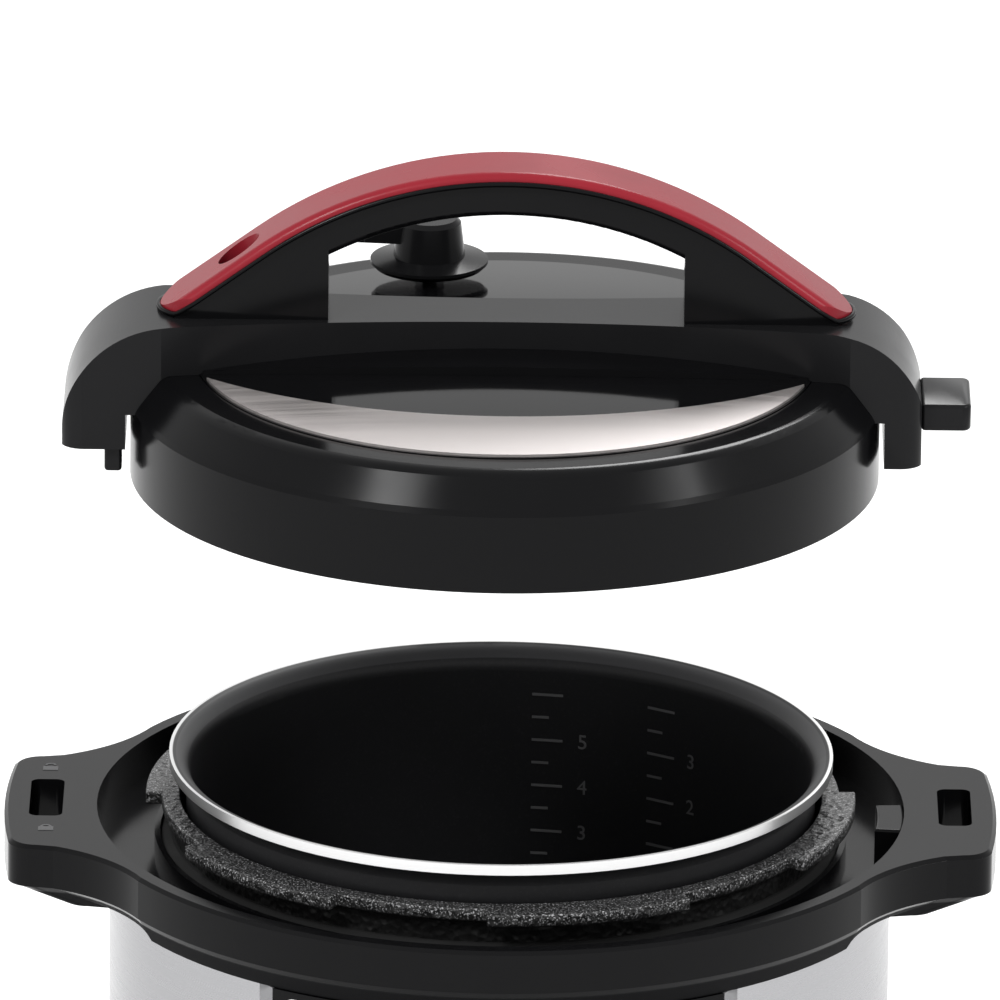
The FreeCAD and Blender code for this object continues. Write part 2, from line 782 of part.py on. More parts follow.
# Inner pot
pot = new_body("inner_pot")
lip = Size(6.0, "6")
turned(pot, [
    (0, pot_base),
    (pot_skin - pot_corner, pot_base, pot_corner),
    (pot_skin, pot_base + pot_corner),
    (pot_skin, rim_top - rim_edge - lip, -lip),
    (rim_radius, rim_top - rim_edge),
    (rim_radius, rim_top),
    (rim_radius - 1.4, rim_top, Size(8.6, "8.6")),
    (pot_radius, rim_top - rim_edge - 5.0),
    (pot_radius, pot_floor + pot_corner - 2.0, -(pot_corner - 2.0)),
    (pot_radius - pot_corner + 2.0, pot_floor),
    (0, pot_floor),
])
piece(pot)

# Control panel: sectors turned about Z round the front
panel_high = collar_low - fit_gap
panel_back = shell_radius + 0.1
key_rows = [collar_low - 26.0 - key_pitch * row for row in range(4)]
key_sites = [(key_turn * side, row, key_wide) for side in (-1.0, 1.0) for row in key_rows]
wide_turn = Size(8.6, "8.6")
wide_row = panel_low + 22.0
key_sites += [(wide_turn * side, wide_row, wide_key) for side in (-1.0, 1.0)]
glass_low = collar_low - 26.0 + key_high / 2 - glass_high
face = new_body("panel_face")
turned(face, [
    (-panel_radius, panel_low + 3.0),
    (-panel_radius + 3.0, panel_low),
    (-panel_back, panel_low),
    (-panel_back, panel_high),
    (-panel_radius, panel_high),
], angle=panel_angle, plane="YZ")
for index, (turn, row, width) in enumerate(key_sites):
    groove(face, rectangle(-panel_radius - 5.0, -panel_back + 5.0, row - fit_gap,
                           row + key_high + fit_gap),
           "key_%d" % index, angle=swept(width + fit_gap * 2, panel_radius), plane="YZ", turn=turn)
groove(face, rectangle(-panel_radius - 5.0, -panel_radius + 2.6, glass_low, glass_low + glass_high),
       "glass", angle=swept(glass_wide, panel_radius), plane="YZ")
groove(face, rectangle(-panel_radius - 5.0, -panel_back + 5.0, glass_low + 2.0,
                       glass_low + glass_high - 2.0),
       "light", angle=swept(glass_wide - 4.0, panel_radius), plane="YZ")
piece(face)

glass = new_body("display_window")
turned(glass, rectangle(-panel_radius + 0.2, -panel_radius + 2.5, glass_low + 0.1,
                        glass_low + glass_high - 0.1),
       angle=swept(glass_wide - 0.2, panel_radius), plane="YZ")
piece(glass)

film_front = panel_back - 3.0
lamp = new_body("display_module")
turned(lamp, rectangle(-panel_radius + 2.7, -film_front - 0.1, glass_low + 3.0,
                       glass_low + glass_high - 3.0),
       angle=swept(glass_wide - 6.0, panel_radius), plane="YZ")
piece(lamp)

film = new_body("key_membrane")
turned(film, rectangle(-film_front, -film_front + 0.7, panel_low + 8.0, collar_low - 10.0),
       angle=Size(55.0, "55"), plane="YZ")
piece(film)

housing = new_body("panel_housing")
turned(housing, rectangle(-panel_back + 0.15, -film_front + 3.7, panel_low + 3.3, collar_low - 5.3),
       angle=Size(58.8, "58.8"), plane="YZ")
groove(housing, rectangle(-panel_back - 5.0, -film_front + 0.85, panel_low + 6.5, collar_low - 8.5),
       "inside", angle=Size(56.6, "56.6"), plane="YZ")
piece(housing)

for index, (turn, row, width) in enumerate(key_sites):
    key = new_body("key_%d" % (index + 1), lift=row, turn=turn)
    turned(key, rectangle(-panel_radius - key_proud, -panel_back + 1.2, 0, key_high), "face",
           angle=swept(width, panel_radius), plane="YZ")
    turned(key, rectangle(-panel_back + fit_gap, -film_front - 0.6, -1.2, key_high + 1.2), "flange",
           angle=swept(width + 2.4, panel_radius), plane="YZ")
    piece(key)

for name, side in (("panel_trim_left", -1.0), ("panel_trim_right", 1.0)):
    strip = new_body(name)
    edge = new_sketch(strip, "XY", name + "_plan", panel_low)
    near = math.radians(number(panel_angle) / 2 + 0.15)
    far = math.radians(number(panel_angle) / 2 + number(strip_angle))
    corners = [
        (panel_back * math.sin(near) * side, panel_back * -math.cos(near), panel_back * side),
        (panel_back * math.sin(far) * side, panel_back * -math.cos(far)),
        ((panel_back + 1.2) * math.sin(far) * side, (panel_back + 1.2) * -math.cos(far)),
        (panel_radius * math.sin(near) * side, panel_radius * -math.cos(near)),
    ]
    outline(edge, corners)
    pad(strip, edge, panel_high - panel_low)
    piece(strip)

piece(bar("control_board", -30.0, 30.0, -(film_front - 7.6), -(film_front - 9.2),
          panel_low + 16.0, collar_low - 18.0))

# Power board on the tray's standoffs, with its relay, choke and capacitors
board_low = tray_floor + 10.0
board_top = board_low + 1.6
piece(bar("power_board", -50.0, 50.0, -52.0, 18.0, board_low, board_top))
relay = bar("relay", -40.0, -12.0, -40.0, -28.0, board_top, board_top + 15.0)
heatsink = bar("heatsink", 10.0, 36.0, -38.0, -34.0, board_top, board_top + 18.0)
terminal = bar("terminal", -34.0, -4.0, 4.0, 14.0, board_top, board_top + 9.0)
can = new_body("capacitor")
can_plan = new_sketch(can, "XY", "capacitor_plan", board_top)
circle(can_plan, 14.0, -8.0, 7.0)
pad(can, can_plan, Size(20.0, "20"))
board_parts = doc.addObject("Part::Compound", "power_components")
board_parts.Links = [relay, heatsink, terminal, can]
doc.recompute()
piece(board_parts)

# Appliance inlet with its three blades
inlet = bar("power_inlet", -14.0, 14.0, shell_radius - 21.5, shell_radius + 3.0, tray_floor + 7.5,
            tray_floor + 27.5)
mouth = new_sketch(inlet, "XZ", "inlet_mouth", -shell_radius - 3.0)
outline(mouth, soft_rectangle(Size(-12.0, "-12"), Size(12.0, "12"), tray_floor + 9.5,
                              tray_floor + 25.5, Size(4.0, "4")))
pocket(inlet, mouth, Size(16.0, "16"), up=True)
piece(inlet)
blades = []
for across, up in ((-7.0, 15.0), (7.0, 15.0), (0.0, 19.0)):
    blade = bar("blade", across - 1.0, across + 1.0, shell_radius - 13.0, shell_radius - 1.0,
                tray_floor + up - 2.0, tray_floor + up + 2.0)
    blades.append(blade)
blade_set = doc.addObject("Part::Compound", "inlet_blades")
blade_set.Links = blades
doc.recompute()
piece(blade_set)

# Condensate cup in its niche at the back
niche_low = collar_low - 80.0
niche_high = collar_low - 11.0
nest = bar("cup_bracket", -cup_half - 3.0, cup_half + 3.0, shell_radius - 14.0, shell_radius + 0.8,
           niche_low, niche_high)
well = new_sketch(nest, "XZ", "nest_well", -shell_radius - 0.8)
outline(well, rectangle(-cup_half - 1.0, cup_half + 1.0, niche_low + 2.0, niche_high - 2.0))
pocket(nest, well, Size(12.8, "12.8"), up=True)
piece(nest)
cup = new_body("condensate_cup")
foot_plan = new_sketch(cup, "XY", "cup_plan", niche_low + 2.0 + fit_gap)
cup_front = shell_radius - 11.2
bend = Size(8.0, "8")
outline(foot_plan, [
    (-cup_half, cup_front),
    (cup_half, cup_front),
    (cup_half, cup_back - bend, bend),
    (cup_half - bend, cup_back),
    (-cup_half + bend, cup_back, bend),
    (-cup_half, cup_back - bend),
])
pad(cup, foot_plan, cup_high)
bowl = new_sketch(cup, "XY", "cup_bowl", niche_low + 4.0 + fit_gap)
inset = Size(1.8, "1.8")
outline(bowl, [
    (-cup_half + inset, cup_front + inset),
    (cup_half - inset, cup_front + inset),
    (cup_half - inset, cup_back - bend, bend - inset),
    (cup_half - bend, cup_back - inset),
    (-cup_half + bend, cup_back - inset, bend - inset),
    (-cup_half + inset, cup_back - bend),
])
pocket(cup, bowl, cup_high, up=True)
piece(cup)

# Lid cover, steel liner and what they hold, from the skirt's lower edge upwards
closed_lift = lid_lift - lid_drop
lock_level = flange_low - closed_lift
rest_level = rim_top - closed_lift
seat_level = ring_top - 1.7
cover_in = skirt_radius - skirt_wall
liner_out = cover_in - 0.4
liner_in = liner_out - liner_gauge
ceiling = ring_top - 4.2 - liner_gauge
pan_top = ceiling - 1.7
pan_low = pan_top - liner_gauge
dome_top = seat_level + plate_gauge + plate_rise
dome_arc = (plate_radius * plate_radius + plate_rise * plate_rise) / (plate_rise * 2.0)


def dome_at(radius):
    """Height of the domed plate's upper face at a radius."""
    return dome_top - dome_arc + root(dome_arc * dome_arc - radius * radius)


def drilled(body, name, across, along, radius):
    """Bore straight up through a piece."""
    sketch = new_sketch(body, "XY", name)
    circle(sketch, across, along, radius)
    return pocket(body, sketch, Size(300.0, "300"), both=True)


cover = new_body("lid_cover", lid_lift)
turned(cover, [
    (cover_in, 0),
    (skirt_radius, 0),
    (skirt_radius, skirt_height - 1.0),
    (skirt_radius - 1.0, skirt_height + 1.0),
    (skirt_radius - 8.0, ring_top - 2.0, Size(6.5, "6.5")),
    (skirt_radius - 12.2, ring_top),
    (plate_radius + 0.3, ring_top),
    (plate_radius + 0.3, seat_level),
    (plate_radius - 10.0, seat_level),
    (plate_radius - 10.0, ring_top - 3.9),
    (skirt_radius - 14.5, ring_top - 3.9),
    (skirt_radius - 11.0, ring_top - 5.2),
    (cover_in - 0.2, skirt_height - 2.4),
    (cover_in, skirt_height - 4.0),
])
piece(cover)

plate = new_body("lid_top_plate", lid_lift)
under_reach = plate_radius - 10.2
under_arc = (under_reach * under_reach + plate_rise * plate_rise) / (plate_rise * 2.0)
turned(plate, [
    (0, seat_level + plate_rise, -under_arc),
    (under_reach, seat_level),
    (plate_radius, seat_level),
    (plate_radius, seat_level + plate_gauge, dome_arc),
    (0, dome_top),
])
drilled(plate, "plate_vent", -valve_left, valve_back, pipe_radius + 4.0)
drilled(plate, "plate_float", -float_reach, Size(0.0, "0"), float_radius + 1.2)
piece(plate)

liner = new_body("inner_lid", lid_lift)
turned(liner, [
    (liner_in, lock_level - 4.0),
    (liner_out, lock_level - 4.0),
    (liner_out, skirt_height - 5.0),
    (liner_out - 9.1, ceiling + 0.1),
    (liner_out - 12.1, ceiling + liner_gauge),
    (plate_radius - 3.4, ceiling + liner_gauge),
    (plate_radius - 8.0, pan_top),
    (0, pan_top),
    (0, pan_low),
    (plate_radius - 7.3, pan_low),
    (plate_radius - 2.8, ceiling),
    (liner_out - 12.6, ceiling),
    (liner_out - 10.2, ceiling - 1.0),
    (liner_in, skirt_height - 5.7),
])
hooks = new_sketch(liner, "XY", "liner_lug", lock_level - 4.0)
outline(hooks, sector(lug_root + 1.1, liner_in + 0.6,
                      LUG_PHASE + TURN - number(lid_lug_angle) / 2,
                      LUG_PHASE + TURN + number(lid_lug_angle) / 2))
polar(liner, pad(liner, hooks, Size(3.4, "3.4")), LUGS)
drilled(liner, "liner_vent", -valve_left, valve_back, pipe_radius + 0.05)
drilled(liner, "liner_float", -float_reach, Size(0.0, "0"), float_radius + 0.5)
piece(liner)

gasket = new_body("sealing_ring", lid_lift)
turned(gasket, [
    (plate_radius - 1.0, rest_level + fit_gap),
    (liner_out - 9.6, rest_level + fit_gap, Size(9.0, "9")),
    (liner_out - 10.6, ceiling - 1.7),
    (liner_out - 13.2, ceiling - fit_gap),
    (plate_radius - 1.0, ceiling - fit_gap),
    (plate_radius - 1.0, ceiling - 2.0),
    (plate_radius + 1.2, ceiling - 3.4),
    (plate_radius - 1.0, ceiling - 4.6),
])
piece(gasket)

rack = new_body("seal_rack", lid_lift)
turned(rack, rectangle(plate_radius - 2.6, plate_radius - 1.4, rest_level - 1.0, ceiling - 0.05))
piece(rack)

# Steel crescent on the front of the plate and the raised base under the bridge
trim_edge = plate_radius - 0.8
skin = new_body("crescent_skin", lid_lift)
turned(skin, [
    (0, dome_top + 0.02, -dome_arc),
    (trim_edge, dome_at(trim_edge) + 0.02),
    (trim_edge, dome_at(trim_edge) + 0.9, dome_arc),
    (0, dome_top + 0.9),
])
moon = new_body("crescent_plan", lid_lift)
moon_sketch = new_sketch(moon, "XY", "moon_plan")
tip_across = plate_radius * 0.955
tip_along = plate_radius * 0.262
outline(moon_sketch, [
    (-tip_across, -tip_along, Size(139.0, "139")),
    (tip_across, -tip_along),
    (tip_across + 30.0, -tip_along),
    (tip_across + 30.0, -plate_radius - 30.0),
    (-tip_across - 30.0, -plate_radius - 30.0),
    (-tip_across - 30.0, -tip_along),
])
pad(moon, moon_sketch, Size(80.0, "80"))
piece(boolean("Common", "crescent_trim", skin, moon))

base_skin = new_body("base_skin", lid_lift)
base_edge = dome_at(trim_edge) + 1.2
base_rise = dome_top + 3.2 - base_edge
base_arc = (trim_edge * trim_edge + base_rise * base_rise) / (base_rise * 2.0)
turned(base_skin, [
    (0, dome_top + 0.03, -dome_arc),
    (trim_edge, dome_at(trim_edge) + 0.03),
    (trim_edge, base_edge, base_arc),
    (0, dome_top + 3.2),
])
lens = new_body("base_plan", lid_lift)
lens_sketch = new_sketch(lens, "XY", "lens_plan")
lens_across = plate_radius * 0.97
lens_along = bridge_half - 2.0
outline(lens_sketch, [
    (-lens_across, -lens_along, Size(560.0, "560")),
    (lens_across, -lens_along),
    (lens_across, lens_along, Size(560.0, "560")),
    (-lens_across, lens_along),
])
pad(lens, lens_sketch, Size(80.0, "80"))
base_blank = boolean("Common", "base_blank", base_skin, lens)
float_bore = doc.addObject("Part::Cylinder", "float_bore")
bind(float_bore, "Radius", float_radius + 0.9)
bind(float_bore, "Height", 120.0)
float_bore.setExpression("Placement.Base.x", (-float_reach).text)
float_bore.setExpression("Placement.Base.z", lid_lift.text)
doc.recompute()
handle_base = boolean("Cut", "handle_base", base_blank, float_bore)
piece(handle_base)

# Everything under the lid's outer face, to fit the bridge to it
envelope = new_body("lid_envelope", lid_lift)
skin_gap = 0.05
turned(envelope, [
    (0, Size(-20.0, "-20")),
    (skirt_radius + skin_gap, Size(-20.0, "-20")),
    (skirt_radius + skin_gap, skirt_height - 1.0),
    (skirt_radius - 1.0 + skin_gap, skirt_height + 1.0 + skin_gap),
    (skirt_radius - 8.0 + skin_gap, ring_top - 2.0 + skin_gap, Size(6.5, "6.5")),
    (skirt_radius - 12.2, ring_top + skin_gap),
    (plate_radius + 0.3, ring_top + skin_gap),
    (plate_radius, seat_level + plate_gauge + skin_gap),
    (lens_across - 2.0, dome_at(lens_across - 2.0) + 0.6),
    (plate_radius / 2.0, dome_at(plate_radius / 2.0) + 1.0),
    (0, dome_top + 1.0),
])

# Bridge across the lid with an arm hooked over each side
side_view = new_body("bridge_side", lid_lift)
side_sketch = new_sketch(side_view, "XZ", "bridge_profile")
bend = Size(34.0, "34")
left_low = Size(14.0, "14")
right_low = Size(10.0, "10")
arm_in = skirt_radius + 1.2
outline(side_sketch, [
    (-arm_in, left_low),
    (-arm_in, ring_top - 14.0),
    (arm_in, ring_top - 14.0),
    (arm_in, right_low),
    (bridge_right, right_low),
    (bridge_right, bridge_top - bend + 7.0, bend),
    (bridge_right - bend + 1.0, bridge_top),
    (-bridge_left + bend + 3.0, bridge_top, bend + 4.0),
    (-bridge_left, bridge_top - bend - 6.0),
    (-bridge_left, left_low),
])
pad(side_view, side_sketch, bridge_half * 2.5, both=True)
top_view = new_body("bridge_plan", lid_lift)
top_sketch = new_sketch(top_view, "XY", "bridge_outline")
waist_reach = Size(118.0, "118")
waist_sag = bridge_half - bridge_waist
waist_arc = (waist_reach * waist_reach + waist_sag * waist_sag) / (waist_sag * 2.0)
outline(top_sketch, [
    (-waist_reach, -bridge_half, -waist_arc),
    (waist_reach, -bridge_half),
    (bridge_right - 7.0, -bridge_half, Size(8.0, "8")),
    (bridge_right + 0.5, -bridge_half + 7.0),
    (bridge_right + 0.5, bridge_half - 7.0, Size(8.0, "8")),
    (bridge_right - 7.0, bridge_half),
    (waist_reach, bridge_half, -waist_arc),
    (-waist_reach, bridge_half),
    (-bridge_left + 7.0, bridge_half, Size(8.0, "8")),
    (-bridge_left - 0.5, bridge_half - 7.0),
    (-bridge_left - 0.5, -bridge_half + 7.0, Size(8.0, "8")),
    (-bridge_left + 7.0, -bridge_half),
])
pad(top_view, top_sketch, Size(90.0, "90"))
bridge_blank = boolean("Common", "bridge_blank", side_view, top_view)
bridge_fit = boolean("Cut", "bridge_fit", bridge_blank, envelope)
bridge_seat = boolean("Cut", "bridge_seat", bridge_fit, base_blank)
piece(boolean("Cut", "handle_bridge", bridge_seat, float_bore))

# Arched handle with its finger gap, and the cap on top of it
slope = grip_bend / root(grip_arc * grip_arc - grip_bend * grip_bend)
grip_knee = grip_apex - grip_arc + root(grip_arc * grip_arc - grip_bend * grip_bend)
inner_arc = grip_arc - cap_gauge
knee_share = inner_arc / grip_arc
low_bend = grip_bend * knee_share
low_knee = grip_apex - grip_arc + (grip_knee - grip_apex + grip_arc) * knee_share
foot_level = bridge_top + 0.03
grip_end = grip_bend + (grip_knee - foot_level - 1.5) / slope
low_end = low_bend + (low_knee - foot_level) / slope
gap_top = grip_apex - cap_gauge - beam_gauge
gap_knee = gap_top - 15.0
gap_arc = (window_half * window_half + Size(225.0, "225")) / 30.0

beam = new_body("handle_beam", lid_lift)
beam_sketch = new_sketch(beam, "XZ", "beam_profile")
outline(beam_sketch, [
    (-low_end, foot_level),
    (-window_half, foot_level),
    (-window_half, gap_knee, -gap_arc),
    (window_half, gap_knee),
    (window_half, foot_level),
    (low_end, foot_level),
    (low_bend, low_knee, inner_arc),
    (-low_bend, low_knee),
])
pad(beam, beam_sketch, grip_half * 2.0 - 2.0, both=True)
rounded(beam, Size(2.0, "2"), lambda edge, box: (
    box.YMax - box.YMin < 1e-4 and box.ZMax > number(gap_knee) + 1.0
    and box.ZMax < number(gap_top) + 0.1 and box.XMax - box.XMin > 90.0))
drilled(beam, "beam_float", -float_reach, Size(0.0, "0"), float_radius + 3.4)
piece(beam)

cap = new_body("handle_cap", lid_lift)
cap_sketch = new_sketch(cap, "XZ", "cap_profile")
outline(cap_sketch, [
    (low_end + 0.1, foot_level),
    (grip_end, foot_level),
    (grip_end, foot_level + 1.5),
    (grip_bend, grip_knee, grip_arc),
    (-grip_bend, grip_knee),
    (-grip_end, foot_level + 1.5),
    (-grip_end, foot_level),
    (-low_end - 0.1, foot_level),
    (-low_bend, low_knee + 0.05, -inner_arc),
    (low_bend, low_knee + 0.05),
])
pad(cap, cap_sketch, grip_half * 2.0, both=True)
rounded(cap, Size(3.0, "3"), lambda edge, box: (
    box.YMax - box.YMin < 1e-4 and edge.Length > 30.0
    and abs(edge.valueAt((edge.FirstParameter + edge.LastParameter) / 2).z
            - number(grip_apex)) < 1e-3))
ends = new_sketch(cap, "XY", "cap_ends")
for side in (1.0, -1.0):
    outline(ends, [
        ((grip_end + 20.0) * side, -grip_half - 5.0),
        ((grip_end + 20.0) * side, grip_half + 5.0),
        ((grip_end - 12.0) * side, grip_half + 5.0),
        ((grip_end - 12.0) * side, grip_half, Size(-14.6 * side, "%g" % (-14.6 * side))),
        ((grip_end - 0.01) * side, Size(0.0, "0"), Size(-14.6 * side, "%g" % (-14.6 * side))),
        ((grip_end - 12.0) * side, -grip_half),
        ((grip_end - 12.0) * side, -grip_half - 5.0),
    ])
pocket(cap, ends, Size(400.0, "400"), both=True)
drilled(cap, "cap_float", -float_reach, Size(0.0, "0"), float_radius + 3.4)
piece(cap)

# Tab that stands the lid up in a handle's slot, and the stub under the left arm
tab = bar("lid_stand_tab", bridge_right, tab_reach, tab_wide / -2.0, tab_wide / 2.0,
          Size(21.0, "21"), tab_gauge + 21.0, lid_lift)
rounded(tab, Size(3.0, "3"), lambda edge, box: box.XMin > number(tab_reach) - 1e-3
        and box.ZMax - box.ZMin > 1.0)
piece(tab)
piece(bar("lid_stub", -skirt_radius - 8.4, -skirt_radius - 2.4, Size(-21.0, "-21"),
          Size(-11.0, "-11"), left_low - 9.0, left_low, lid_lift))

# Steam outlet: pipe in the liner, shield below it and the release valve on top
vent = (-valve_left, valve_back)
pipe = new_body("vent_pipe", lid_lift, at=vent)
turned(pipe, [
    (pipe_radius / 2.0, pan_low - 3.0),
    (pipe_radius, pan_low - 3.0),
    (pipe_radius, pan_top),
    (pipe_radius + 3.4, pan_top),
    (pipe_radius + 3.4, pan_top + 3.0),
    (pipe_radius, pan_top + 3.0),
    (pipe_radius, dome_top + 6.0),
    (pipe_radius / 2.0, dome_top + 8.0),
])
piece(pipe)
shield = new_body("vent_shield", lid_lift, at=vent)
turned(shield, [
    (0, pan_low - 11.0),
    (Size(11.0, "11"), pan_low - 11.0),
    (Size(13.0, "13"), pan_low - 8.0),
    (Size(13.0, "13"), pan_low),
    (Size(12.0, "12"), pan_low),
    (Size(12.0, "12"), pan_low - 7.8),
    (Size(10.6, "10.6"), pan_low - 10.0),
    (0, pan_low - 10.0),
])
ports = new_sketch(shield, "XZ", "shield_port")
outline(ports, rectangle(-2.0, 2.0, pan_low - 7.0, pan_low - 3.0))
polar(shield, pocket(shield, ports, Size(60.0, "60"), both=True), 6)
piece(shield)
valve = new_body("steam_valve", lid_lift, at=vent)
turned(valve, [
    (pipe_radius + fit_gap, dome_top + 1.0),
    (Size(19.0, "19"), dome_top + 1.0),
    (Size(20.5, "20.5"), dome_top + 2.5),
    (Size(20.5, "20.5"), dome_top + 3.6),
    (Size(12.5, "12.5"), dome_top + 5.0),
    (Size(11.0, "11"), dome_top + 17.0),
    (Size(9.5, "9.5"), dome_top + 18.5),
    (0, dome_top + 18.5),
    (0, dome_top + 10.0),
    (pipe_radius / 2.0, dome_top + 9.0),
    (pipe_radius + fit_gap, dome_top + 6.6),
])
lever = new_sketch(valve, "XY", "valve_lever", dome_top + 10.5)
outline(lever, [
    (Size(-30.0, "-30"), Size(-4.0, "-4")),
    (Size(-6.0, "-6"), Size(-6.5, "-6.5")),
    (Size(-6.0, "-6"), Size(6.5, "6.5")),
    (Size(-30.0, "-30"), Size(4.0, "4"), Size(4.5, "4.5")),
])
pad(valve, lever, Size(8.0, "8"))
piece(valve)

# Float valve with its silicone seal
spot = (-float_reach, Size(0.0, "0"))
pin_low = pan_low - 9.6
float_pin = new_body("float_pin", lid_lift, at=spot)
turned(float_pin, [
    (0, pin_low),
    (float_radius + 3.4, pin_low),
    (float_radius + 3.4, pin_low + 2.0),
    (float_radius, pin_low + 2.0),
    (float_radius, bridge_top + 3.0),
    (float_radius - 1.0, bridge_top + 4.0),
    (0, bridge_top + 4.0),
])
piece(float_pin)
float_seal = new_body("float_seal", lid_lift, at=spot)
turned(float_seal, rectangle(float_radius + 0.05, float_radius + 3.0, pin_low + 2.0, pin_low + 3.8))
piece(float_seal)

# Every object has to be sound before the files are written
doc.recompute()
for item in doc.Objects:
    if "Invalid" in item.State or "Error" in item.State:
        raise ValueError(item.Name + " is not valid")
os.makedirs("parts", exist_ok=True)
for item in pieces:
    shape = item.Shape
    if shape.isNull() or not shape.isValid():
        raise ValueError(item.Label + " has no sound shape")
    shape.exportStep("parts/" + item.Label + ".step")
print(len(pieces), "pieces written")
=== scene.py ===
import math

import bmesh
import bpy
from bpy.props import FloatProperty, FloatVectorProperty, PointerProperty
from mathutils import Matrix, Vector


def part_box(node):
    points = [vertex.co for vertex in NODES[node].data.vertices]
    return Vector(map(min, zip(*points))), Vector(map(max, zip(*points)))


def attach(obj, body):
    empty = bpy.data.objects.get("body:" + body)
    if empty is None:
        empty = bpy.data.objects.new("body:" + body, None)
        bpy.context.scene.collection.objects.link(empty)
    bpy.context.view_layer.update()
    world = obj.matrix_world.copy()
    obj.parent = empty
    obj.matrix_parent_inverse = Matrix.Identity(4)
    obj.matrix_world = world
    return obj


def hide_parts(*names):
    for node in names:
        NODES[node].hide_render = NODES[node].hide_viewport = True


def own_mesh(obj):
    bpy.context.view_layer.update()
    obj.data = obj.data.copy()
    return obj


bl_info = {
    "name": "Electric pressure cooker",
    "version": (1, 0, 0),
    "blender": (4, 5, 0),
    "location": "View3D > Sidebar > Cooker",
    "description": "Finishes, printed signs and a stage for a pressure cooker with its lid lifted",
    "category": "Object",
}

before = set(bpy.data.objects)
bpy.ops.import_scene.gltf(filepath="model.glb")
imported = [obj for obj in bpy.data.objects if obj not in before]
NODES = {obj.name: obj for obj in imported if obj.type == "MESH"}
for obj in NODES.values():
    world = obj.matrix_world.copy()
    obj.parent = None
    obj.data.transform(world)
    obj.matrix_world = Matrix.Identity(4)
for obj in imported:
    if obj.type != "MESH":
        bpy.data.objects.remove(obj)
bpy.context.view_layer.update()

# Sides of a cylinder that a flat drawing is rolled onto
FRONT, BACK = -1.0, 1.0

# Colours of hidden and minor pieces
KEY_BLACK = (0.06, 0.06, 0.063)
WINDOW_BLACK = (0.004, 0.004, 0.006)
FOOT_BLACK = (0.018, 0.018, 0.018)
CUP_TINT = (0.92, 0.94, 0.95)
LIP_GREY = (0.05, 0.05, 0.052)
CRESCENT_GREY = (0.58, 0.545, 0.535)
ALUMINIUM = (0.55, 0.55, 0.55)
BRIGHT_STEEL = (0.7, 0.7, 0.7)
BRASS = (0.66, 0.48, 0.2)
FELT = (0.72, 0.68, 0.6)
BOARD_GREEN = (0.02, 0.13, 0.05)
FIGURE_BLUE = (0.75, 0.85, 0.95)

# Fine grain of polished plastic: noise scale, and depth in metres
FINE_GRAIN = 1400.0
FINE_DEPTH = 0.00001

# Unpolished underside of the collar: its height, the fade above it, and its roughness
UNDERSIDE_HEIGHT = 0.0062
UNDERSIDE_FADE = 0.0012
UNDERSIDE_ROUGHNESS = 0.8

# Where the pot's finishes change, each from nought to full, as a radius or a level in metres
RIM_OUTSIDE = (0.1137, 0.1140)
RIM_FOOT = (0.2385, 0.2388)
LIP_LEVEL = (0.2407, 0.2411)
LIP_INSIDE = (0.1128, 0.1126)

# Flecks of the flange, faded out below its top between these depths as painted shade, and the share of
# its lumps in the relief
FLECK_SHADE_FOOT = 0.0045
FLECK_SHADE_END = 0.002
LUMP_SHARE = 2.4

# Rounded edges of CAD nodes
WELD_REACH = 0.000002
FLAT_ANGLE = math.radians(0.6)
SHARP_ANGLE = math.radians(40)
EDGE_STEPS = 3
TAB_EDGE = 0.0012
FLANGE_EDGE = 0.0013

# Spring under the sensor
SPRING_MERGE = 1e-6

# Marks on the pot's wall: columns in radians, the rest in metres
MARK_COLUMNS = (0.10, 0.50)
MARK_LEVELS = 9
MARK_FOOT = 0.16
MARK_STEP = 0.0085
MARK_LONG = 0.011
MARK_SHORT = 0.006
MARK_HEIGHT = 0.0009
MARK_GAUGE = 0.0003
MARK_INK = 0.24
NUMBER_SIZE = 0.0075
NUMBER_SHIFT = 0.17
NUMBER_MERGE = 1e-7
POT_NUMBERS = (("3", 0, 2), ("4", 0, 4), ("5", 0, 6), ("2", 1, 4), ("3", 1, 6))

# Bead round the cap: its section, out from the cap and up from its edge, and its steps
BEAD_SECTION = ((0.0001, -0.0002), (0.0013, -0.0002), (0.0013, 0.0014), (0.0001, 0.0014))
BEAD_FOOT = 0.0003
SIDE_STEPS = 80
END_STEPS = 24

# Lock signs: places in metres, shares of the sign's height
LOCK_X = -0.157
LOCKS = (("lock_sign_closed", -0.027, 0.0), ("lock_sign_open", 0.034, 0.0012))
LOCK_WIDTH, LOCK_BODY, LOCK_DROP = 0.7, 0.52, 0.2
SHACKLE_RISE, SHACKLE_OUTER, SHACKLE_INNER = 0.06, 0.26, 0.15
SHACKLE_STEPS = 20
LOCK_INK = 0.28
INK_GAUGE = 0.00016

# Line round the panel
LINE_GAUGE = 0.00014
LINE_CORNER_STEPS = 8
LINE_CUTS = 24
LINE_LONG_EDGE = 0.02
LEVEL_ERROR = 1e-6

# Signs on the keys
KEY_COUNT = 10
RING_KEYS, CROSS_KEYS, BAR_KEYS = (1, 5, 9), (2, 6), (3, 7)
RING_OUTER, RING_INNER = 0.0021, 0.0015
RING_STEPS = 32
BAR_LENGTH, BAR_WIDTH, CROSS_WIDTH = 0.0042, 0.0008, 0.0007
BAR_LIFT = 0.00008
ARROW_RADIUS = 0.0024
KEY_SIGN_GAUGE = 0.00015

# Figures on the display, each of six bars, and the colon between them
FIGURE_PLACES = (-0.0135, -0.0055, 0.0055, 0.0135)
FIGURE_RISE = 0.005
FIGURE_WIDTH = 0.004
FIGURE_SIDE, FIGURE_HALF = 0.0024, 0.0026
FIGURE_BAR, FIGURE_UPRIGHT = 0.0009, 0.0042
FIGURE_GAUGE = 0.0001
FIGURE_GLOW = 0.8
COLON_RISE = 0.002

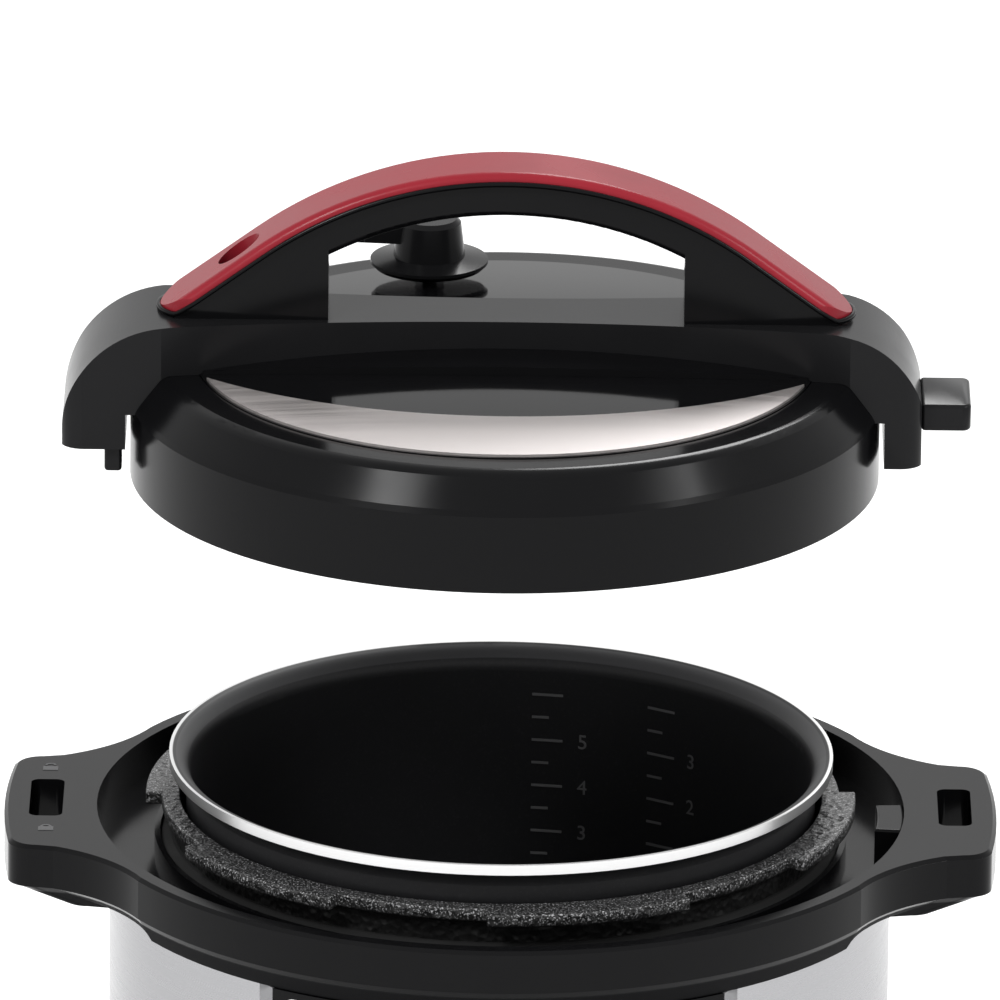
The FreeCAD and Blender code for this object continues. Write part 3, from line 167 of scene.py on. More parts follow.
# Stage
FLOOR_HALF = 30.0
FLOOR_WHITE = 0.9
FLOOR_GLOW = 0.40
SKY_LIGHT, SKY_SEEN = 0.6, 1.0
LAMPS = (
    ("key_lamp", (-1.1, -1.3, 1.9), 24.0, 0.55),
    ("fill_lamp", (1.3, -0.7, 1.4), 9.0, 0.45),
    ("back_lamp", (0.3, 1.4, 1.6), 10.0, 0.5),
)
LAMP_AIM = Vector((0, 0, 0.25))
CAMERA_AIM = Vector((-0.0014, 0, 0.337))
CAMERA_RISE = math.radians(19.0)
CAMERA_ROLL = math.radians(0.65)
CAMERA_SENSOR = 36.0
CAMERA_END = 100.0


def colour(label, words, default):
    return FloatVectorProperty(name=label, description=words, default=default, subtype="COLOR",
                               size=3, min=0.0, max=1.0)


def length(label, words, default):
    return FloatProperty(name=label, description=words, default=default, subtype="DISTANCE",
                         unit="LENGTH", min=0.0)


class CookerFinish(bpy.types.PropertyGroup):
    """Colours of the cooker's finishes"""
    gloss_black: colour("Gloss black", "Collar, panel and lid plastic", (0.004, 0.004, 0.0045))
    satin_black: colour("Satin black", "Bridge, hooks and tray plastic", (0.007, 0.007, 0.0075))
    red: colour("Red", "Cap along the lid handle", (0.29, 0.018, 0.029))
    steel: colour("Steel", "Body, inner lid and fittings", (0.37, 0.37, 0.38))
    rim: colour("Rim metal", "Bare machined edge of the pot", (0.80, 0.80, 0.80))
    coating: colour("Pot coating", "Dark coating inside the pot", (0.010, 0.010, 0.011))
    hammered: colour("Hammered black", "Bayonet flange coating", (0.009, 0.009, 0.009))
    speck: colour("Speck", "Bright flecks in the hammered coating", (0.46, 0.46, 0.47))
    grey: colour("Grey", "Side strips of the panel", (0.30, 0.30, 0.31))
    silicone: colour("Silicone", "Sealing ring", (0.62, 0.61, 0.58))
    sign: colour("Sign", "Printed signs and marks", (0.46, 0.46, 0.47))


class CookerSizes(bpy.types.PropertyGroup):
    """Sizes of the printed signs and of the view"""
    mark_radius: length("Mark radius", "Radius of the marks on the pot's wall", 0.10737)
    panel_radius: length("Line radius", "Radius of the back of the line on the panel", 0.14098)
    line_width: length("Line width", "Width of the line round the panel", 0.0012)
    line_inset: length("Line inset", "From the panel's sides and foot to the line", 0.005)
    line_drop: length("Line drop", "From the panel's top to the line", 0.0024)
    line_corner: length("Line corner", "Outer radius of the line's corners", 0.003)
    grip_arc: length("Grip arc", "Radius of the top of the handle", 0.146)
    grip_bend: length("Grip bend", "From the middle to where the handle's top runs straight", 0.086)
    cap_gauge: length("Cap gauge", "Thickness of the red cap", 0.004)
    sign_height: length("Sign height", "Height of a lock sign", 0.0075)
    view_distance: length("View distance", "From the camera to the middle of the view", 6.0)
    view_width: length("View width", "Width that the camera takes in", 0.3448)


# Node graphs

def finish(name):
    made = bpy.data.materials.new(name)
    made.use_nodes = True
    return made, made.node_tree, made.node_tree.nodes["Principled BSDF"]


def node(tree, kind, **values):
    made = tree.nodes.new(kind)
    for key, value in values.items():
        if key in made.inputs:
            made.inputs[key].default_value = value
        else:
            setattr(made, key, value)
    return made


def place(tree, scale=(1, 1, 1)):
    """Object coordinates, stretched."""
    coord = tree.nodes.new("ShaderNodeTexCoord")
    mapping = node(tree, "ShaderNodeMapping", Scale=scale)
    tree.links.new(coord.outputs["Object"], mapping.inputs["Vector"])
    return mapping.outputs["Vector"]


def noise(tree, where, **values):
    made = node(tree, "ShaderNodeTexNoise", **values)
    tree.links.new(where, made.inputs["Vector"])
    return made.outputs["Fac"]


def split(tree, where):
    made = tree.nodes.new("ShaderNodeSeparateXYZ")
    tree.links.new(where, made.inputs["Vector"])
    return made.outputs


def ramp(tree, source, low, high, start=0.0, end=1.0):
    made = tree.nodes.new("ShaderNodeMapRange")
    made.inputs["From Min"].default_value = low
    made.inputs["From Max"].default_value = high
    made.inputs["To Min"].default_value = start
    made.inputs["To Max"].default_value = end
    tree.links.new(source, made.inputs["Value"])
    return made.outputs["Result"]


def uneven(tree, source, middle, spread):
    """A value that a noise moves up and down by a share of itself."""
    return ramp(tree, source, 0.3, 0.7, middle * (1 - spread), middle * (1 + spread))


def joined(tree, operation, first, second, clamp=False):
    made = node(tree, "ShaderNodeMath", operation=operation, use_clamp=clamp)
    tree.links.new(first, made.inputs[0])
    tree.links.new(second, made.inputs[1])
    return made.outputs["Value"]


def mixed(tree, factor, first, second):
    made = tree.nodes.new("ShaderNodeMix")
    made.data_type = "RGBA"
    tree.links.new(factor, made.inputs[0])
    for socket, value in ((made.inputs[6], first), (made.inputs[7], second)):
        if isinstance(value, bpy.types.NodeSocket):
            tree.links.new(value, socket)
        else:
            socket.default_value = (*value, 1.0)
    return made.outputs[2]


def shaded(tree, factor, base, dark, light):
    """One colour between a darker and a lighter share of itself."""
    return mixed(tree, factor, [c * dark for c in base], [min(1.0, c * light) for c in base])


def relief(tree, shader, source, strength, distance):
    made = node(tree, "ShaderNodeBump", Strength=strength, Distance=distance)
    tree.links.new(source, made.inputs["Height"])
    tree.links.new(made.outputs["Normal"], shader.inputs["Normal"])


def moulded(name, base, rough, coat=0.0, grain=900.0, depth=0.00002, specular=0.11,
            dull_below=None):
    """Moulded plastic: a fine grain, uneven gloss, faint cloudiness, and no polish below a level."""
    made, tree, shader = finish(name)
    where = place(tree)
    fine = noise(tree, where, Scale=grain, Detail=4.0)
    broad = noise(tree, where, Scale=38.0, Detail=3.0)
    tree.links.new(shaded(tree, broad, base, 0.88, 1.12), shader.inputs["Base Color"])
    gloss = uneven(tree, broad, rough, 0.15)
    if dull_below is not None:
        dull = ramp(tree, split(tree, where)["Z"], dull_below, dull_below + UNDERSIDE_FADE,
                    UNDERSIDE_ROUGHNESS, 0.0)
        gloss = joined(tree, "MAXIMUM", gloss, dull)
    tree.links.new(gloss, shader.inputs["Roughness"])
    shader.inputs["Specular IOR Level"].default_value = specular
    shader.inputs["Coat Weight"].default_value = coat
    shader.inputs["Coat Roughness"].default_value = 0.05
    relief(tree, shader, fine, 0.25, depth)
    return made


def polished(name, base, rough, **values):
    """Moulded plastic from a polished mould."""
    return moulded(name, base, rough, grain=FINE_GRAIN, **{"depth": FINE_DEPTH, **values})


def metal(name, base, rough, stretch, depth=0.00001):
    """Metal with fine lines drawn along one direction."""
    made, tree, shader = finish(name)
    lines = noise(tree, place(tree, stretch), Scale=1.0, Detail=5.0, Roughness=0.65)
    tree.links.new(shaded(tree, lines, base, 0.9, 1.08), shader.inputs["Base Color"])
    shader.inputs["Metallic"].default_value = 1.0
    tree.links.new(uneven(tree, lines, rough, 0.2), shader.inputs["Roughness"])
    relief(tree, shader, lines, 0.2, depth)
    return made


def hammered(name, base, speck, top):
    """Black coating with a lumpy, cell-like relief, and light flecks that painted shade fades out below
    its top.
    """
    made, tree, shader = finish(name)
    where = place(tree)
    cells = node(tree, "ShaderNodeTexVoronoi", Scale=380.0)
    tree.links.new(where, cells.inputs["Vector"])
    lumps = noise(tree, where, Scale=130.0, Detail=2.0)
    flecks = noise(tree, where, Scale=1500.0, Detail=2.0)
    # Painted shade: the flecks fade out below the flange's top, so the lower wall stays dark as if in
    # shadow
    flecks_shaded_below = joined(tree, "MULTIPLY", ramp(tree, flecks, 0.55, 0.68),
                    ramp(tree, split(tree, where)["Z"], top - FLECK_SHADE_FOOT, top - FLECK_SHADE_END))
    tree.links.new(mixed(tree, flecks_shaded_below, base, speck), shader.inputs["Base Color"])
    shader.inputs["Roughness"].default_value = 0.42
    height = node(tree, "ShaderNodeMath", operation="MULTIPLY_ADD")
    tree.links.new(lumps, height.inputs[0])
    height.inputs[1].default_value = LUMP_SHARE
    tree.links.new(cells.outputs["Distance"], height.inputs[2])
    relief(tree, shader, height.outputs["Value"], 0.8, 0.0008)
    return made


def pot_finish(name, coating, rim, lip):
    """Dark coating inside, a grey lip, and bare metal on the rim and outside."""
    made, tree, shader = finish(name)
    where = place(tree)
    parts = split(tree, where)
    flat = tree.nodes.new("ShaderNodeCombineXYZ")
    for axis in ("X", "Y"):
        tree.links.new(parts[axis], flat.inputs[axis])
    reach = node(tree, "ShaderNodeVectorMath", operation="LENGTH")
    tree.links.new(flat.outputs["Vector"], reach.inputs[0])
    radius, level = reach.outputs["Value"], parts["Z"]
    dust = noise(tree, where, Scale=900.0, Detail=4.0)
    lines = noise(tree, place(tree, (30, 30, 2500)), Scale=1.0, Detail=4.0)
    on_lip = joined(tree, "MULTIPLY", ramp(tree, level, *LIP_LEVEL), ramp(tree, radius, *LIP_INSIDE))
    on_edge = joined(tree, "MULTIPLY", ramp(tree, radius, *RIM_OUTSIDE), ramp(tree, level, *RIM_FOOT))
    bare = joined(tree, "SUBTRACT", on_edge, on_lip, clamp=True)
    speckled = shaded(tree, ramp(tree, dust, 0.55, 0.75), coating, 1.0, 1.6)
    coated = mixed(tree, on_lip, speckled, lip)
    shade = mixed(tree, bare, coated, shaded(tree, lines, rim, 0.9, 1.0))
    tree.links.new(shade, shader.inputs["Base Color"])
    tree.links.new(bare, shader.inputs["Metallic"])
    tree.links.new(ramp(tree, bare, 0, 1, 0.42, 0.28), shader.inputs["Roughness"])
    shader.inputs["Specular IOR Level"].default_value = 0.3
    relief(tree, shader, dust, 0.15, 0.00003)
    return made


def clear(name, tint, rough):
    """Clear plastic, a little uneven in gloss."""
    made, tree, shader = finish(name)
    waves = noise(tree, place(tree), Scale=60.0, Detail=2.0)
    shader.inputs["Base Color"].default_value = (*tint, 1.0)
    shader.inputs["Transmission Weight"].default_value = 0.9
    shader.inputs["IOR"].default_value = 1.46
    tree.links.new(uneven(tree, waves, rough, 0.4), shader.inputs["Roughness"])
    return made


def glowing(name, tint, strength):
    """Lit figures, a little uneven in brightness."""
    made, tree, shader = finish(name)
    patches = noise(tree, place(tree), Scale=240.0, Detail=2.0)
    shader.inputs["Base Color"].default_value = (*tint, 1.0)
    shader.inputs["Emission Color"].default_value = (*tint, 1.0)
    shader.inputs["Roughness"].default_value = 0.4
    tree.links.new(uneven(tree, patches, strength, 0.15), shader.inputs["Emission Strength"])
    return made


def in_view(tree):
    """One for rays from the camera, off a glossy face or through clear plastic, otherwise nought."""
    path = tree.nodes.new("ShaderNodeLightPath")
    found = path.outputs["Is Camera Ray"]
    for kind in ("Is Glossy Ray", "Is Transmission Ray"):
        found = joined(tree, "MAXIMUM", found, path.outputs[kind])
    return found


# CAD nodes

def dress(made, *names):
    for name in names:
        NODES[name].data.materials.clear()
        NODES[name].data.materials.append(made)


def softened(width, flat, *names):
    """Rounds the sharp edges of CAD nodes; flat-sided ones lose their inner triangles first."""
    for name in names:
        weld = NODES[name].modifiers.new("weld", "WELD")
        weld.merge_threshold = WELD_REACH
        if flat:
            sides = NODES[name].modifiers.new("sides", "DECIMATE")
            sides.decimate_type = "DISSOLVE"
            sides.angle_limit = FLAT_ANGLE
        edge = NODES[name].modifiers.new("edge", "BEVEL")
        edge.width = width
        edge.segments = EDGE_STEPS
        edge.limit_method = "ANGLE"
        edge.angle_limit = SHARP_ANGLE
        edge.harden_normals = True


def outer_reach(name):
    """Largest radius of a CAD node about the upright axis."""
    return max(math.hypot(v.co.x, v.co.y) for v in NODES[name].data.vertices)


# New meshes

def to_mesh(shape, name, closed=True):
    if closed:
        shape.normal_update()
        bmesh.ops.recalc_face_normals(shape, faces=shape.faces)
    mesh = bpy.data.meshes.new(name)
    shape.to_mesh(mesh)
    shape.free()
    return mesh


def piece(name, shape, made, body):
    """A closed shape as an object with one finish, riding on a body."""
    mesh = to_mesh(shape, name)
    whole = bpy.data.objects.new(name, mesh)
    bpy.context.scene.collection.objects.link(whole)
    mesh.materials.clear()
    mesh.materials.append(made)
    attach(whole, body)
    return whole


def thicken(shape, faces, offset):
    """Turns flat faces into a solid by drawing them out along an offset."""
    drawn = bmesh.ops.extrude_face_region(shape, geom=faces)["geom"]
    bmesh.ops.translate(shape, vec=offset,
                        verts=[part for part in drawn if isinstance(part, bmesh.types.BMVert)])


def ring_on(shape, centre, outer, inner, height, steps, sweep=math.tau):
    """A flat ring, or part of one, standing up from z."""
    known = set(shape.faces)
    ends = [bmesh.ops.create_vert(shape, co=(centre[0] + reach, centre[1], centre[2]))["vert"][0]
            for reach in (inner, outer)]
    line = bmesh.ops.contextual_create(shape, geom=ends)["edges"]
    bmesh.ops.spin(shape, geom=ends + line, cent=centre, axis=(0, 0, 1), angle=sweep, steps=steps,
                   use_merge=sweep == math.tau)
    thicken(shape, [face for face in shape.faces if face not in known], (0, 0, height))


def block(shape, centre, size):
    cube = bmesh.ops.create_cube(shape, size=1.0)
    bmesh.ops.scale(shape, vec=size, verts=cube["verts"])
    bmesh.ops.translate(shape, vec=centre, verts=cube["verts"])


def closed_loop(shape, points):
    """Edges that join points in order and come back to the first."""
    corners = [shape.verts.new(point) for point in points]
    return [shape.edges.new(pair) for pair in zip(corners, corners[1:] + corners[:1])]


def figures(text, size, gauge):
    """Solid figures, x across, y through them and z up."""
    words = bpy.data.curves.new("figures", "FONT")
    words.body = text
    words.size = size
    words.align_x = "CENTER"
    words.align_y = "CENTER"
    words.extrude = gauge / 2
    carrier = bpy.data.objects.new("figures", words)
    bpy.context.scene.collection.objects.link(carrier)
    bpy.context.view_layer.update()
    drawn = carrier.evaluated_get(bpy.context.evaluated_depsgraph_get())
    mesh = bpy.data.meshes.new_from_object(drawn)
    bpy.data.objects.remove(carrier)
    shape = bmesh.new()
    shape.from_mesh(mesh)
    bmesh.ops.remove_doubles(shape, verts=shape.verts, dist=NUMBER_MERGE)
    for vert in shape.verts:
        vert.co = vert.co.xzy
    return shape


def roll(shape, reach, side):
    """Rolls a flat drawing, x across, y inwards and z up, onto the front or back of a cylinder."""
    for vert in shape.verts:
        angle = vert.co.x / reach
        out = reach - vert.co.y
        vert.co = Vector((out * math.sin(angle), side * out * math.cos(angle), vert.co.z))


# Operators

class COOKER_OT_body_finish(bpy.types.Operator):
    """Plastics and steel of the cooker's body"""
    bl_idname = "cooker.body_finish"
    bl_label = "Body finishes"

    def execute(self, context):
        c = context.scene.cooker_finish
        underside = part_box("top_collar")[0].z + UNDERSIDE_HEIGHT
        dress(polished("panel_plastic", c.gloss_black, rough=0.16), "panel_face", "lid_guide_block")
        dress(polished("collar_plastic", c.gloss_black, rough=0.16, dull_below=underside), "top_collar")
        dress(moulded("tray_plastic", c.satin_black, rough=0.42), "base_tray", "power_inlet",
              "cup_bracket", "panel_housing", "display_module", "key_membrane", "power_components")
        dress(moulded("key_plastic", KEY_BLACK, rough=0.45),
              *["key_%d" % number for number in range(1, KEY_COUNT + 1)])
        dress(moulded("window_plastic", WINDOW_BLACK, rough=0.06, coat=0.6, depth=0.000002),
              "display_window")
        dress(moulded("strip_plastic", c.grey, rough=0.34), "panel_trim_left", "panel_trim_right")
        dress(metal("shell_steel", c.steel, rough=0.26, stretch=(12, 12, 1400)), "outer_shell")
        dress(moulded("foot_rubber", FOOT_BLACK, rough=0.75), "rubber_feet", "collar_seal")
        dress(clear("cup_plastic", CUP_TINT, rough=0.12), "condensate_cup")
        return {"FINISHED"}


class COOKER_OT_pot_finish(bpy.types.Operator):
    """Coating, lip and bare rim of the pot, and the hammered bayonet flange"""
    bl_idname = "cooker.pot_finish"
    bl_label = "Pot finishes"

    def execute(self, context):
        c = context.scene.cooker_finish
        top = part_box("outer_pot")[1].z
        dress(pot_finish("pot_metal", c.coating, c.rim, LIP_GREY), "inner_pot")
        dress(hammered("flange_coating", c.hammered, c.speck, top), "outer_pot")
        softened(FLANGE_EDGE, False, "outer_pot")
        return {"FINISHED"}


class COOKER_OT_lid_finish(bpy.types.Operator):
    """Plastics, steel and seals of the lid"""
    bl_idname = "cooker.lid_finish"
    bl_label = "Lid finishes"

    def execute(self, context):
        c = context.scene.cooker_finish
        bridge_black = [v * 1.5 for v in c.satin_black]
        dress(polished("lid_plastic", c.gloss_black, rough=0.18), "lid_cover")
        dress(polished("plate_plastic", c.gloss_black, rough=0.08, coat=0.1, depth=0.000005),
              "lid_top_plate", "handle_base")
        dress(moulded("bridge_plastic", bridge_black, rough=0.2), "handle_bridge", "lid_stand_tab",
              "lid_stub")
        dress(polished("beam_plastic", c.gloss_black, rough=0.14), "handle_beam")
        dress(moulded("valve_plastic", c.satin_black, rough=0.22), "steam_valve")
        dress(polished("cap_plastic", c.red, rough=0.26, specular=0.13), "handle_cap")
        dress(metal("crescent_steel", CRESCENT_GREY, rough=0.48, stretch=(4, 900, 4), depth=0.000004),
              "crescent_trim")
        dress(metal("lid_steel", c.steel, rough=0.24, stretch=(60, 60, 60)), "inner_lid",
              "seal_rack", "vent_pipe", "vent_shield", "float_pin")
        dress(moulded("ring_silicone", c.silicone, rough=0.5), "sealing_ring", "float_seal")
        softened(TAB_EDGE, True, "lid_stand_tab", "lid_stub")
        return {"FINISHED"}


class COOKER_OT_inside_finish(bpy.types.Operator):
    """Finishes of the heater, sensor, boards and insulation"""
    bl_idname = "cooker.inside_finish"
    bl_label = "Inner finishes"

    def execute(self, context):
        dress(metal("heater_aluminium", ALUMINIUM, rough=0.4, stretch=(300, 300, 300), depth=0.00003),
              "heating_plate", "temperature_sensor")
        dress(metal("bright_steel", BRIGHT_STEEL, rough=0.18, stretch=(200, 200, 900)),
              "heating_element", "sensor_spring", "sensor_bracket")
        dress(metal("blade_brass", BRASS, rough=0.25, stretch=(400, 400, 400)), "inlet_blades")
        dress(moulded("insulation_felt", FELT, rough=0.9, grain=300.0, depth=0.0008),
              "heat_insulation")
        dress(moulded("board_resin", BOARD_GREEN, rough=0.4), "control_board", "power_board")
        return {"FINISHED"}


class COOKER_OT_sensor_coil(bpy.types.Operator):
    """Spring under the sensor, made a piece of its own riding on the cooker, with the original hidden
    """
    bl_idname = "cooker.sensor_coil"
    bl_label = "Sensor spring"

    def execute(self, context):
        shape = bmesh.new()
        shape.from_mesh(NODES["sensor_spring"].data)
        bmesh.ops.remove_doubles(shape, verts=shape.verts, dist=SPRING_MERGE)
        steel = metal("coil_steel", BRIGHT_STEEL, rough=0.18, stretch=(200, 200, 900))
        coil = piece("sensor_coil", shape, steel, "cooker")
        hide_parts("sensor_spring")
        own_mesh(coil)
        return {"FINISHED"}


class COOKER_OT_pot_marks(bpy.types.Operator):
    """Level marks and plain numbers on the pot's wall"""
    bl_idname = "cooker.pot_marks"
    bl_label = "Pot marks"

    def execute(self, context):
        c = context.scene.cooker_finish
        reach = context.scene.cooker_sizes.mark_radius
        ink = moulded("mark_ink", [v * MARK_INK for v in c.sign], rough=0.5)
        shape = bmesh.new()
        for column in MARK_COLUMNS:
            for level in range(MARK_LEVELS):
                wide = MARK_SHORT if level % 2 else MARK_LONG
                block(shape, (reach * column + wide / 2, 0, MARK_FOOT + MARK_STEP * level),
                      (wide, MARK_GAUGE, MARK_HEIGHT))
        roll(shape, reach, BACK)
        piece("pot_level_marks", shape, ink, "pot")
        for index, (text, column, level) in enumerate(POT_NUMBERS):
            shape = figures(text, NUMBER_SIZE, MARK_GAUGE)
            across = reach * (MARK_COLUMNS[column] + NUMBER_SHIFT)
            bmesh.ops.translate(shape, vec=(across, 0, MARK_FOOT + MARK_STEP * level),
                                verts=shape.verts)
            roll(shape, reach, BACK)
            piece("pot_number_%d" % index, shape, ink, "pot")
        return {"FINISHED"}


class COOKER_OT_cap_border(bpy.types.Operator):
    """Black bead round the lower edge of the red cap"""
    bl_idname = "cooker.cap_border"
    bl_label = "Cap border"

    def execute(self, context):
        c = context.scene.cooker_finish
        s = context.scene.cooker_sizes
        low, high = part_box("handle_cap")
        half = high.y
        straight = high.x - half
        centre = high.z - s.grip_arc
        inner = s.grip_arc - s.cap_gauge
        knee = s.grip_bend * inner / s.grip_arc
        knee_level = centre + math.sqrt(inner * inner - knee * knee)
        slope = s.grip_bend / math.sqrt(s.grip_arc ** 2 - s.grip_bend ** 2)

        def level(x):
            far = abs(x)
            arch = centre + math.sqrt(inner * inner - far * far) if far < knee \
                else knee_level - slope * (far - knee)
            return max(arch, low.z + BEAD_FOOT)

        def outline(reach):
            """Both sides and both round ends, seen from above."""
            for end in (1, -1):
                for step in range(SIDE_STEPS + 1):
                    yield end * straight * (2 * step / SIDE_STEPS - 1), -end * reach
                for step in range(1, END_STEPS):
                    turn = math.pi * (step / END_STEPS - end / 2)
                    yield end * straight + reach * math.cos(turn), reach * math.sin(turn)

        shape = bmesh.new()
        loops = [closed_loop(shape, [(x, y, level(x) + up) for x, y in outline(half + out)])
                 for out, up in BEAD_SECTION]
        for first, second in zip(loops, loops[1:] + loops[:1]):
            bmesh.ops.bridge_loops(shape, edges=first + second)
        border = piece("cap_border", shape, moulded("border_plastic", c.gloss_black, rough=0.2), "lid")
        border.data.polygons.foreach_set("use_smooth", [True] * len(border.data.polygons))
        return {"FINISHED"}


class COOKER_OT_lock_signs(bpy.types.Operator):
    """Closed and open padlock signs beside the left handle's slot"""
    bl_idname = "cooker.lock_signs"
    bl_label = "Lock signs"

    def execute(self, context):
        c = context.scene.cooker_finish
        tall = context.scene.cooker_sizes.sign_height
        ink = moulded("sign_ink", [v * LOCK_INK for v in c.sign], rough=0.5)
        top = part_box("top_collar")[1].z
        for name, y, lifted in LOCKS:
            shape = bmesh.new()
            block(shape, (LOCK_X, y - tall * LOCK_DROP, top + INK_GAUGE / 2),
                  (tall * LOCK_WIDTH, tall * LOCK_BODY, INK_GAUGE))
            ring_on(shape, (LOCK_X, y + tall * SHACKLE_RISE + lifted, top), tall * SHACKLE_OUTER,
                    tall * SHACKLE_INNER, INK_GAUGE, SHACKLE_STEPS, math.pi)
            piece(name, shape, ink, "cooker")
        return {"FINISHED"}


class COOKER_OT_panel_line(bpy.types.Operator):
    """Silver line round the control panel"""
    bl_idname = "cooker.panel_line"
    bl_label = "Panel line"

    def execute(self, context):
        s = context.scene.cooker_sizes
        low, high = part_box("panel_face")
        half = s.panel_radius * math.asin(min(0.999, high.x / s.panel_radius)) - s.line_inset
        side = half - s.line_corner
        upper = high.z - s.line_drop - s.line_corner
        lower = low.z + s.line_inset + s.line_corner
        centres = ((side, upper, 0), (-side, upper, 90), (-side, lower, 180), (side, lower, 270))
        shape = bmesh.new()
        edges = []
        for corner in (s.line_corner, s.line_corner - s.line_width):
            points = []
            for x, z, first in centres:
                for step in range(LINE_CORNER_STEPS + 1):
                    turn = math.radians(first + 90 * step / LINE_CORNER_STEPS)
                    points.append((x + corner * math.cos(turn), 0, z + corner * math.sin(turn)))
            edges += closed_loop(shape, points)
        bmesh.ops.bridge_loops(shape, edges=edges)
        runs = [edge for edge in shape.edges if edge.calc_length() > LINE_LONG_EDGE
                and abs(edge.verts[0].co.z - edge.verts[1].co.z) < LEVEL_ERROR]
        bmesh.ops.subdivide_edges(shape, edges=runs, cuts=LINE_CUTS, use_grid_fill=True)
        thicken(shape, shape.faces[:], (0, -LINE_GAUGE, 0))
        roll(shape, s.panel_radius, FRONT)
        silver = metal("line_silver", BRIGHT_STEEL, rough=0.3, stretch=(50, 50, 50))
        piece("panel_line", shape, silver, "cooker")
        return {"FINISHED"}


class COOKER_OT_key_signs(bpy.types.Operator):
    """Plain generic signs on the keys"""
    bl_idname = "cooker.key_signs"
    bl_label = "Key signs"

    def execute(self, context):
        ink = moulded("key_ink", context.scene.cooker_finish.sign, rough=0.5)
        pointing = Matrix.Rotation(math.radians(-90), 4, "Z")
        upright = Matrix.Rotation(math.radians(90), 4, "X")
        for number in range(1, KEY_COUNT + 1):
            key = "key_%d" % number
            low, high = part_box(key)
            centre = (low + high) / 2
            shape = bmesh.new()
            if number in RING_KEYS:
                ring_on(shape, (0, 0, 0), RING_OUTER, RING_INNER, KEY_SIGN_GAUGE, RING_STEPS)
            elif number in CROSS_KEYS:
                block(shape, (0, 0, BAR_LIFT), (BAR_LENGTH, CROSS_WIDTH, INK_GAUGE))
                block(shape, (0, 0, BAR_LIFT), (CROSS_WIDTH, BAR_LENGTH, INK_GAUGE))
            elif number in BAR_KEYS:
                block(shape, (0, 0, BAR_LIFT), (BAR_LENGTH, BAR_WIDTH, INK_GAUGE))
            else:
                arrow = bmesh.ops.create_circle(shape, cap_ends=True, segments=3,
                                                radius=ARROW_RADIUS, matrix=pointing)["verts"]
                thicken(shape, arrow[0].link_faces[:], (0, 0, KEY_SIGN_GAUGE))
            turn = Matrix.Rotation(math.atan2(centre.x, -centre.y), 4, "Z")
            stand = turn @ Matrix.Translation((0, -outer_reach(key), centre.z)) @ upright
            bmesh.ops.transform(shape, matrix=stand, verts=shape.verts)
            piece("key_sign_%d" % number, shape, ink, "key_%d_cap" % number)
        return {"FINISHED"}


class COOKER_OT_display_figures(bpy.types.Operator):
    """Lit figures on the display"""
    bl_idname = "cooker.display_figures"
    bl_label = "Display figures"

    def execute(self, context):
        low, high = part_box("display_window")
        middle = (low.z + high.z) / 2
        shape = bmesh.new()

        def bar(x, z, wide, tall):
            block(shape, (x, -FIGURE_GAUGE / 2, middle + z), (wide, FIGURE_GAUGE, tall))

        for x in FIGURE_PLACES:
            for up in (1, -1):
                bar(x, up * FIGURE_RISE, FIGURE_WIDTH, FIGURE_BAR)
                for across in (-FIGURE_SIDE, FIGURE_SIDE):
                    bar(x + across, up * FIGURE_HALF, FIGURE_BAR, FIGURE_UPRIGHT)
        for up in (COLON_RISE, -COLON_RISE):
            bar(0, up, FIGURE_BAR, FIGURE_BAR)
        roll(shape, outer_reach("display_window"), FRONT)
        light = glowing("figure_light", FIGURE_BLUE, FIGURE_GLOW)
        piece("display_figures", shape, light, "cooker")
        return {"FINISHED"}


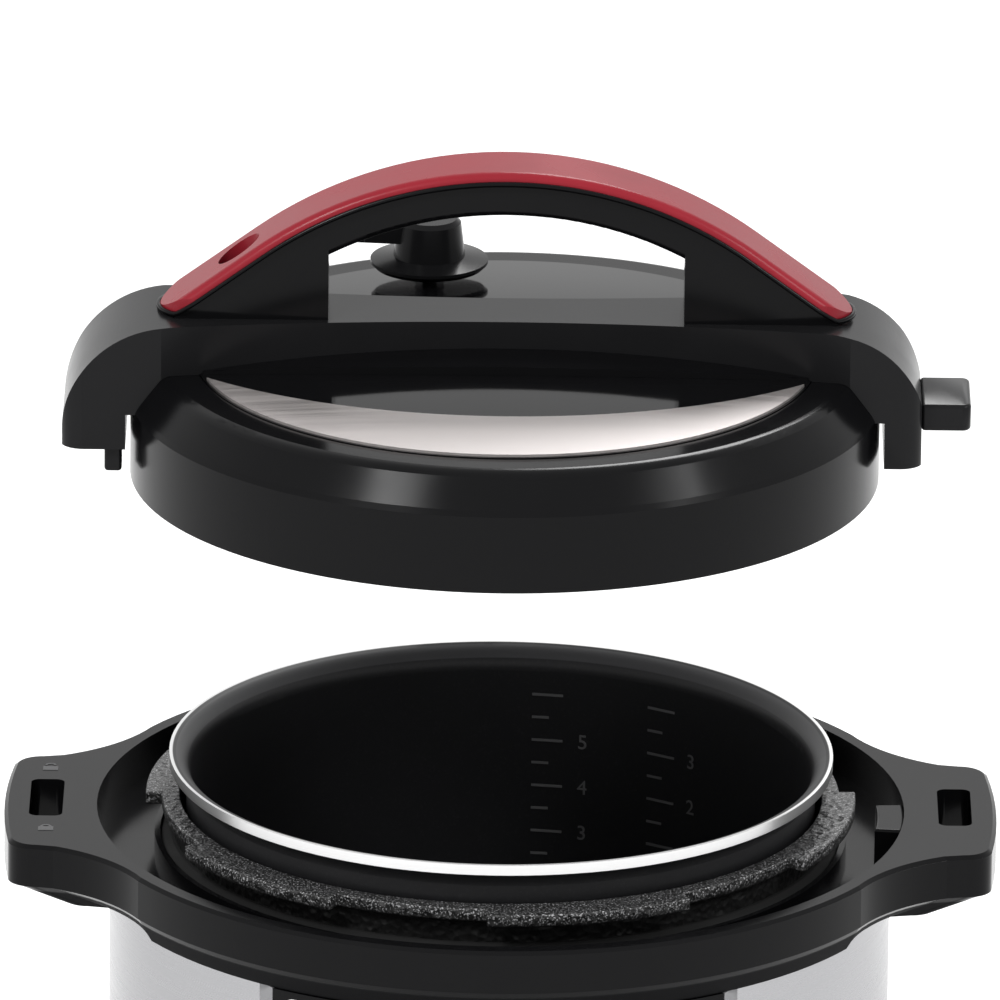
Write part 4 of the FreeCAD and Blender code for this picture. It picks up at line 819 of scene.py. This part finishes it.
class COOKER_OT_stage(bpy.types.Operator):
    """Floor, lamps, world and camera"""
    bl_idname = "cooker.stage"
    bl_label = "Stage"

    def execute(self, context):
        s = context.scene.cooker_sizes
        scene = context.scene
        shape = bmesh.new()
        bmesh.ops.create_grid(shape, x_segments=1, y_segments=1, size=FLOOR_HALF)
        floor = bpy.data.objects.new("floor", to_mesh(shape, "floor", closed=False))
        scene.collection.objects.link(floor)
        made, tree, shader = finish("floor_paper")
        shader.inputs["Base Color"].default_value = (FLOOR_WHITE, FLOOR_WHITE, FLOOR_WHITE, 1.0)
        shader.inputs["Roughness"].default_value = 0.9
        shader.inputs["Emission Color"].default_value = (1, 1, 1, 1)
        tree.links.new(ramp(tree, in_view(tree), 0, 1, 0.0, FLOOR_GLOW),
                       shader.inputs["Emission Strength"])
        floor.data.materials.append(made)

        scene.world = bpy.data.worlds.new("studio")
        scene.world.use_nodes = True
        tree = scene.world.node_tree
        sky = tree.nodes["Background"]
        sky.inputs["Color"].default_value = (1, 1, 1, 1)
        tree.links.new(ramp(tree, in_view(tree), 0, 1, SKY_LIGHT, SKY_SEEN), sky.inputs["Strength"])

        for name, spot, power, size in LAMPS:
            lamp = bpy.data.lights.new(name, "AREA")
            lamp.energy = power
            lamp.size = size
            holder = bpy.data.objects.new(name, lamp)
            holder.location = spot
            holder.rotation_euler = (LAMP_AIM - Vector(spot)).to_track_quat("-Z", "Y").to_euler()
            scene.collection.objects.link(holder)

        eye = bpy.data.cameras.new("camera")
        eye.sensor_width = CAMERA_SENSOR
        eye.lens = CAMERA_SENSOR * s.view_distance / s.view_width
        eye.clip_end = CAMERA_END
        holder = bpy.data.objects.new("camera", eye)
        away = Vector((0, -math.cos(CAMERA_RISE), math.sin(CAMERA_RISE)))
        tilt = Matrix.Rotation(math.radians(90) - CAMERA_RISE, 4, "X")
        turn = tilt @ Matrix.Rotation(CAMERA_ROLL, 4, "Z")
        holder.matrix_world = Matrix.Translation(CAMERA_AIM + away * s.view_distance) @ turn
        scene.collection.objects.link(holder)
        scene.camera = holder
        scene.view_settings.view_transform = "Standard"
        return {"FINISHED"}


OPERATORS = (
    COOKER_OT_body_finish,
    COOKER_OT_pot_finish,
    COOKER_OT_lid_finish,
    COOKER_OT_inside_finish,
    COOKER_OT_sensor_coil,
    COOKER_OT_pot_marks,
    COOKER_OT_cap_border,
    COOKER_OT_lock_signs,
    COOKER_OT_panel_line,
    COOKER_OT_key_signs,
    COOKER_OT_display_figures,
    COOKER_OT_stage,
)


class COOKER_PT_panel(bpy.types.Panel):
    """Lists the cooker's finish colours and sizes, and its operators"""
    bl_idname = "COOKER_PT_panel"
    bl_label = "Pressure cooker"
    bl_space_type = "VIEW_3D"
    bl_region_type = "UI"
    bl_category = "Cooker"

    def draw(self, context):
        for group in (context.scene.cooker_finish, context.scene.cooker_sizes):
            for name in group.__annotations__:
                self.layout.prop(group, name)
        for kind in OPERATORS:
            self.layout.operator(kind.bl_idname)


CLASSES = (CookerFinish, CookerSizes) + OPERATORS + (COOKER_PT_panel,)


def register():
    for kind in CLASSES:
        bpy.utils.register_class(kind)
    bpy.types.Scene.cooker_finish = PointerProperty(type=CookerFinish)
    bpy.types.Scene.cooker_sizes = PointerProperty(type=CookerSizes)


def unregister():
    del bpy.types.Scene.cooker_sizes
    del bpy.types.Scene.cooker_finish
    for kind in reversed(CLASSES):
        bpy.utils.unregister_class(kind)


def main():
    register()
    bpy.ops.cooker.body_finish()
    bpy.ops.cooker.pot_finish()
    bpy.ops.cooker.lid_finish()
    bpy.ops.cooker.inside_finish()
    bpy.ops.cooker.sensor_coil()
    bpy.ops.cooker.pot_marks()
    bpy.ops.cooker.cap_border()
    bpy.ops.cooker.lock_signs()
    bpy.ops.cooker.panel_line()
    bpy.ops.cooker.key_signs()
    bpy.ops.cooker.display_figures()
    bpy.ops.cooker.stage()


if __name__ == "__main__":
    main()
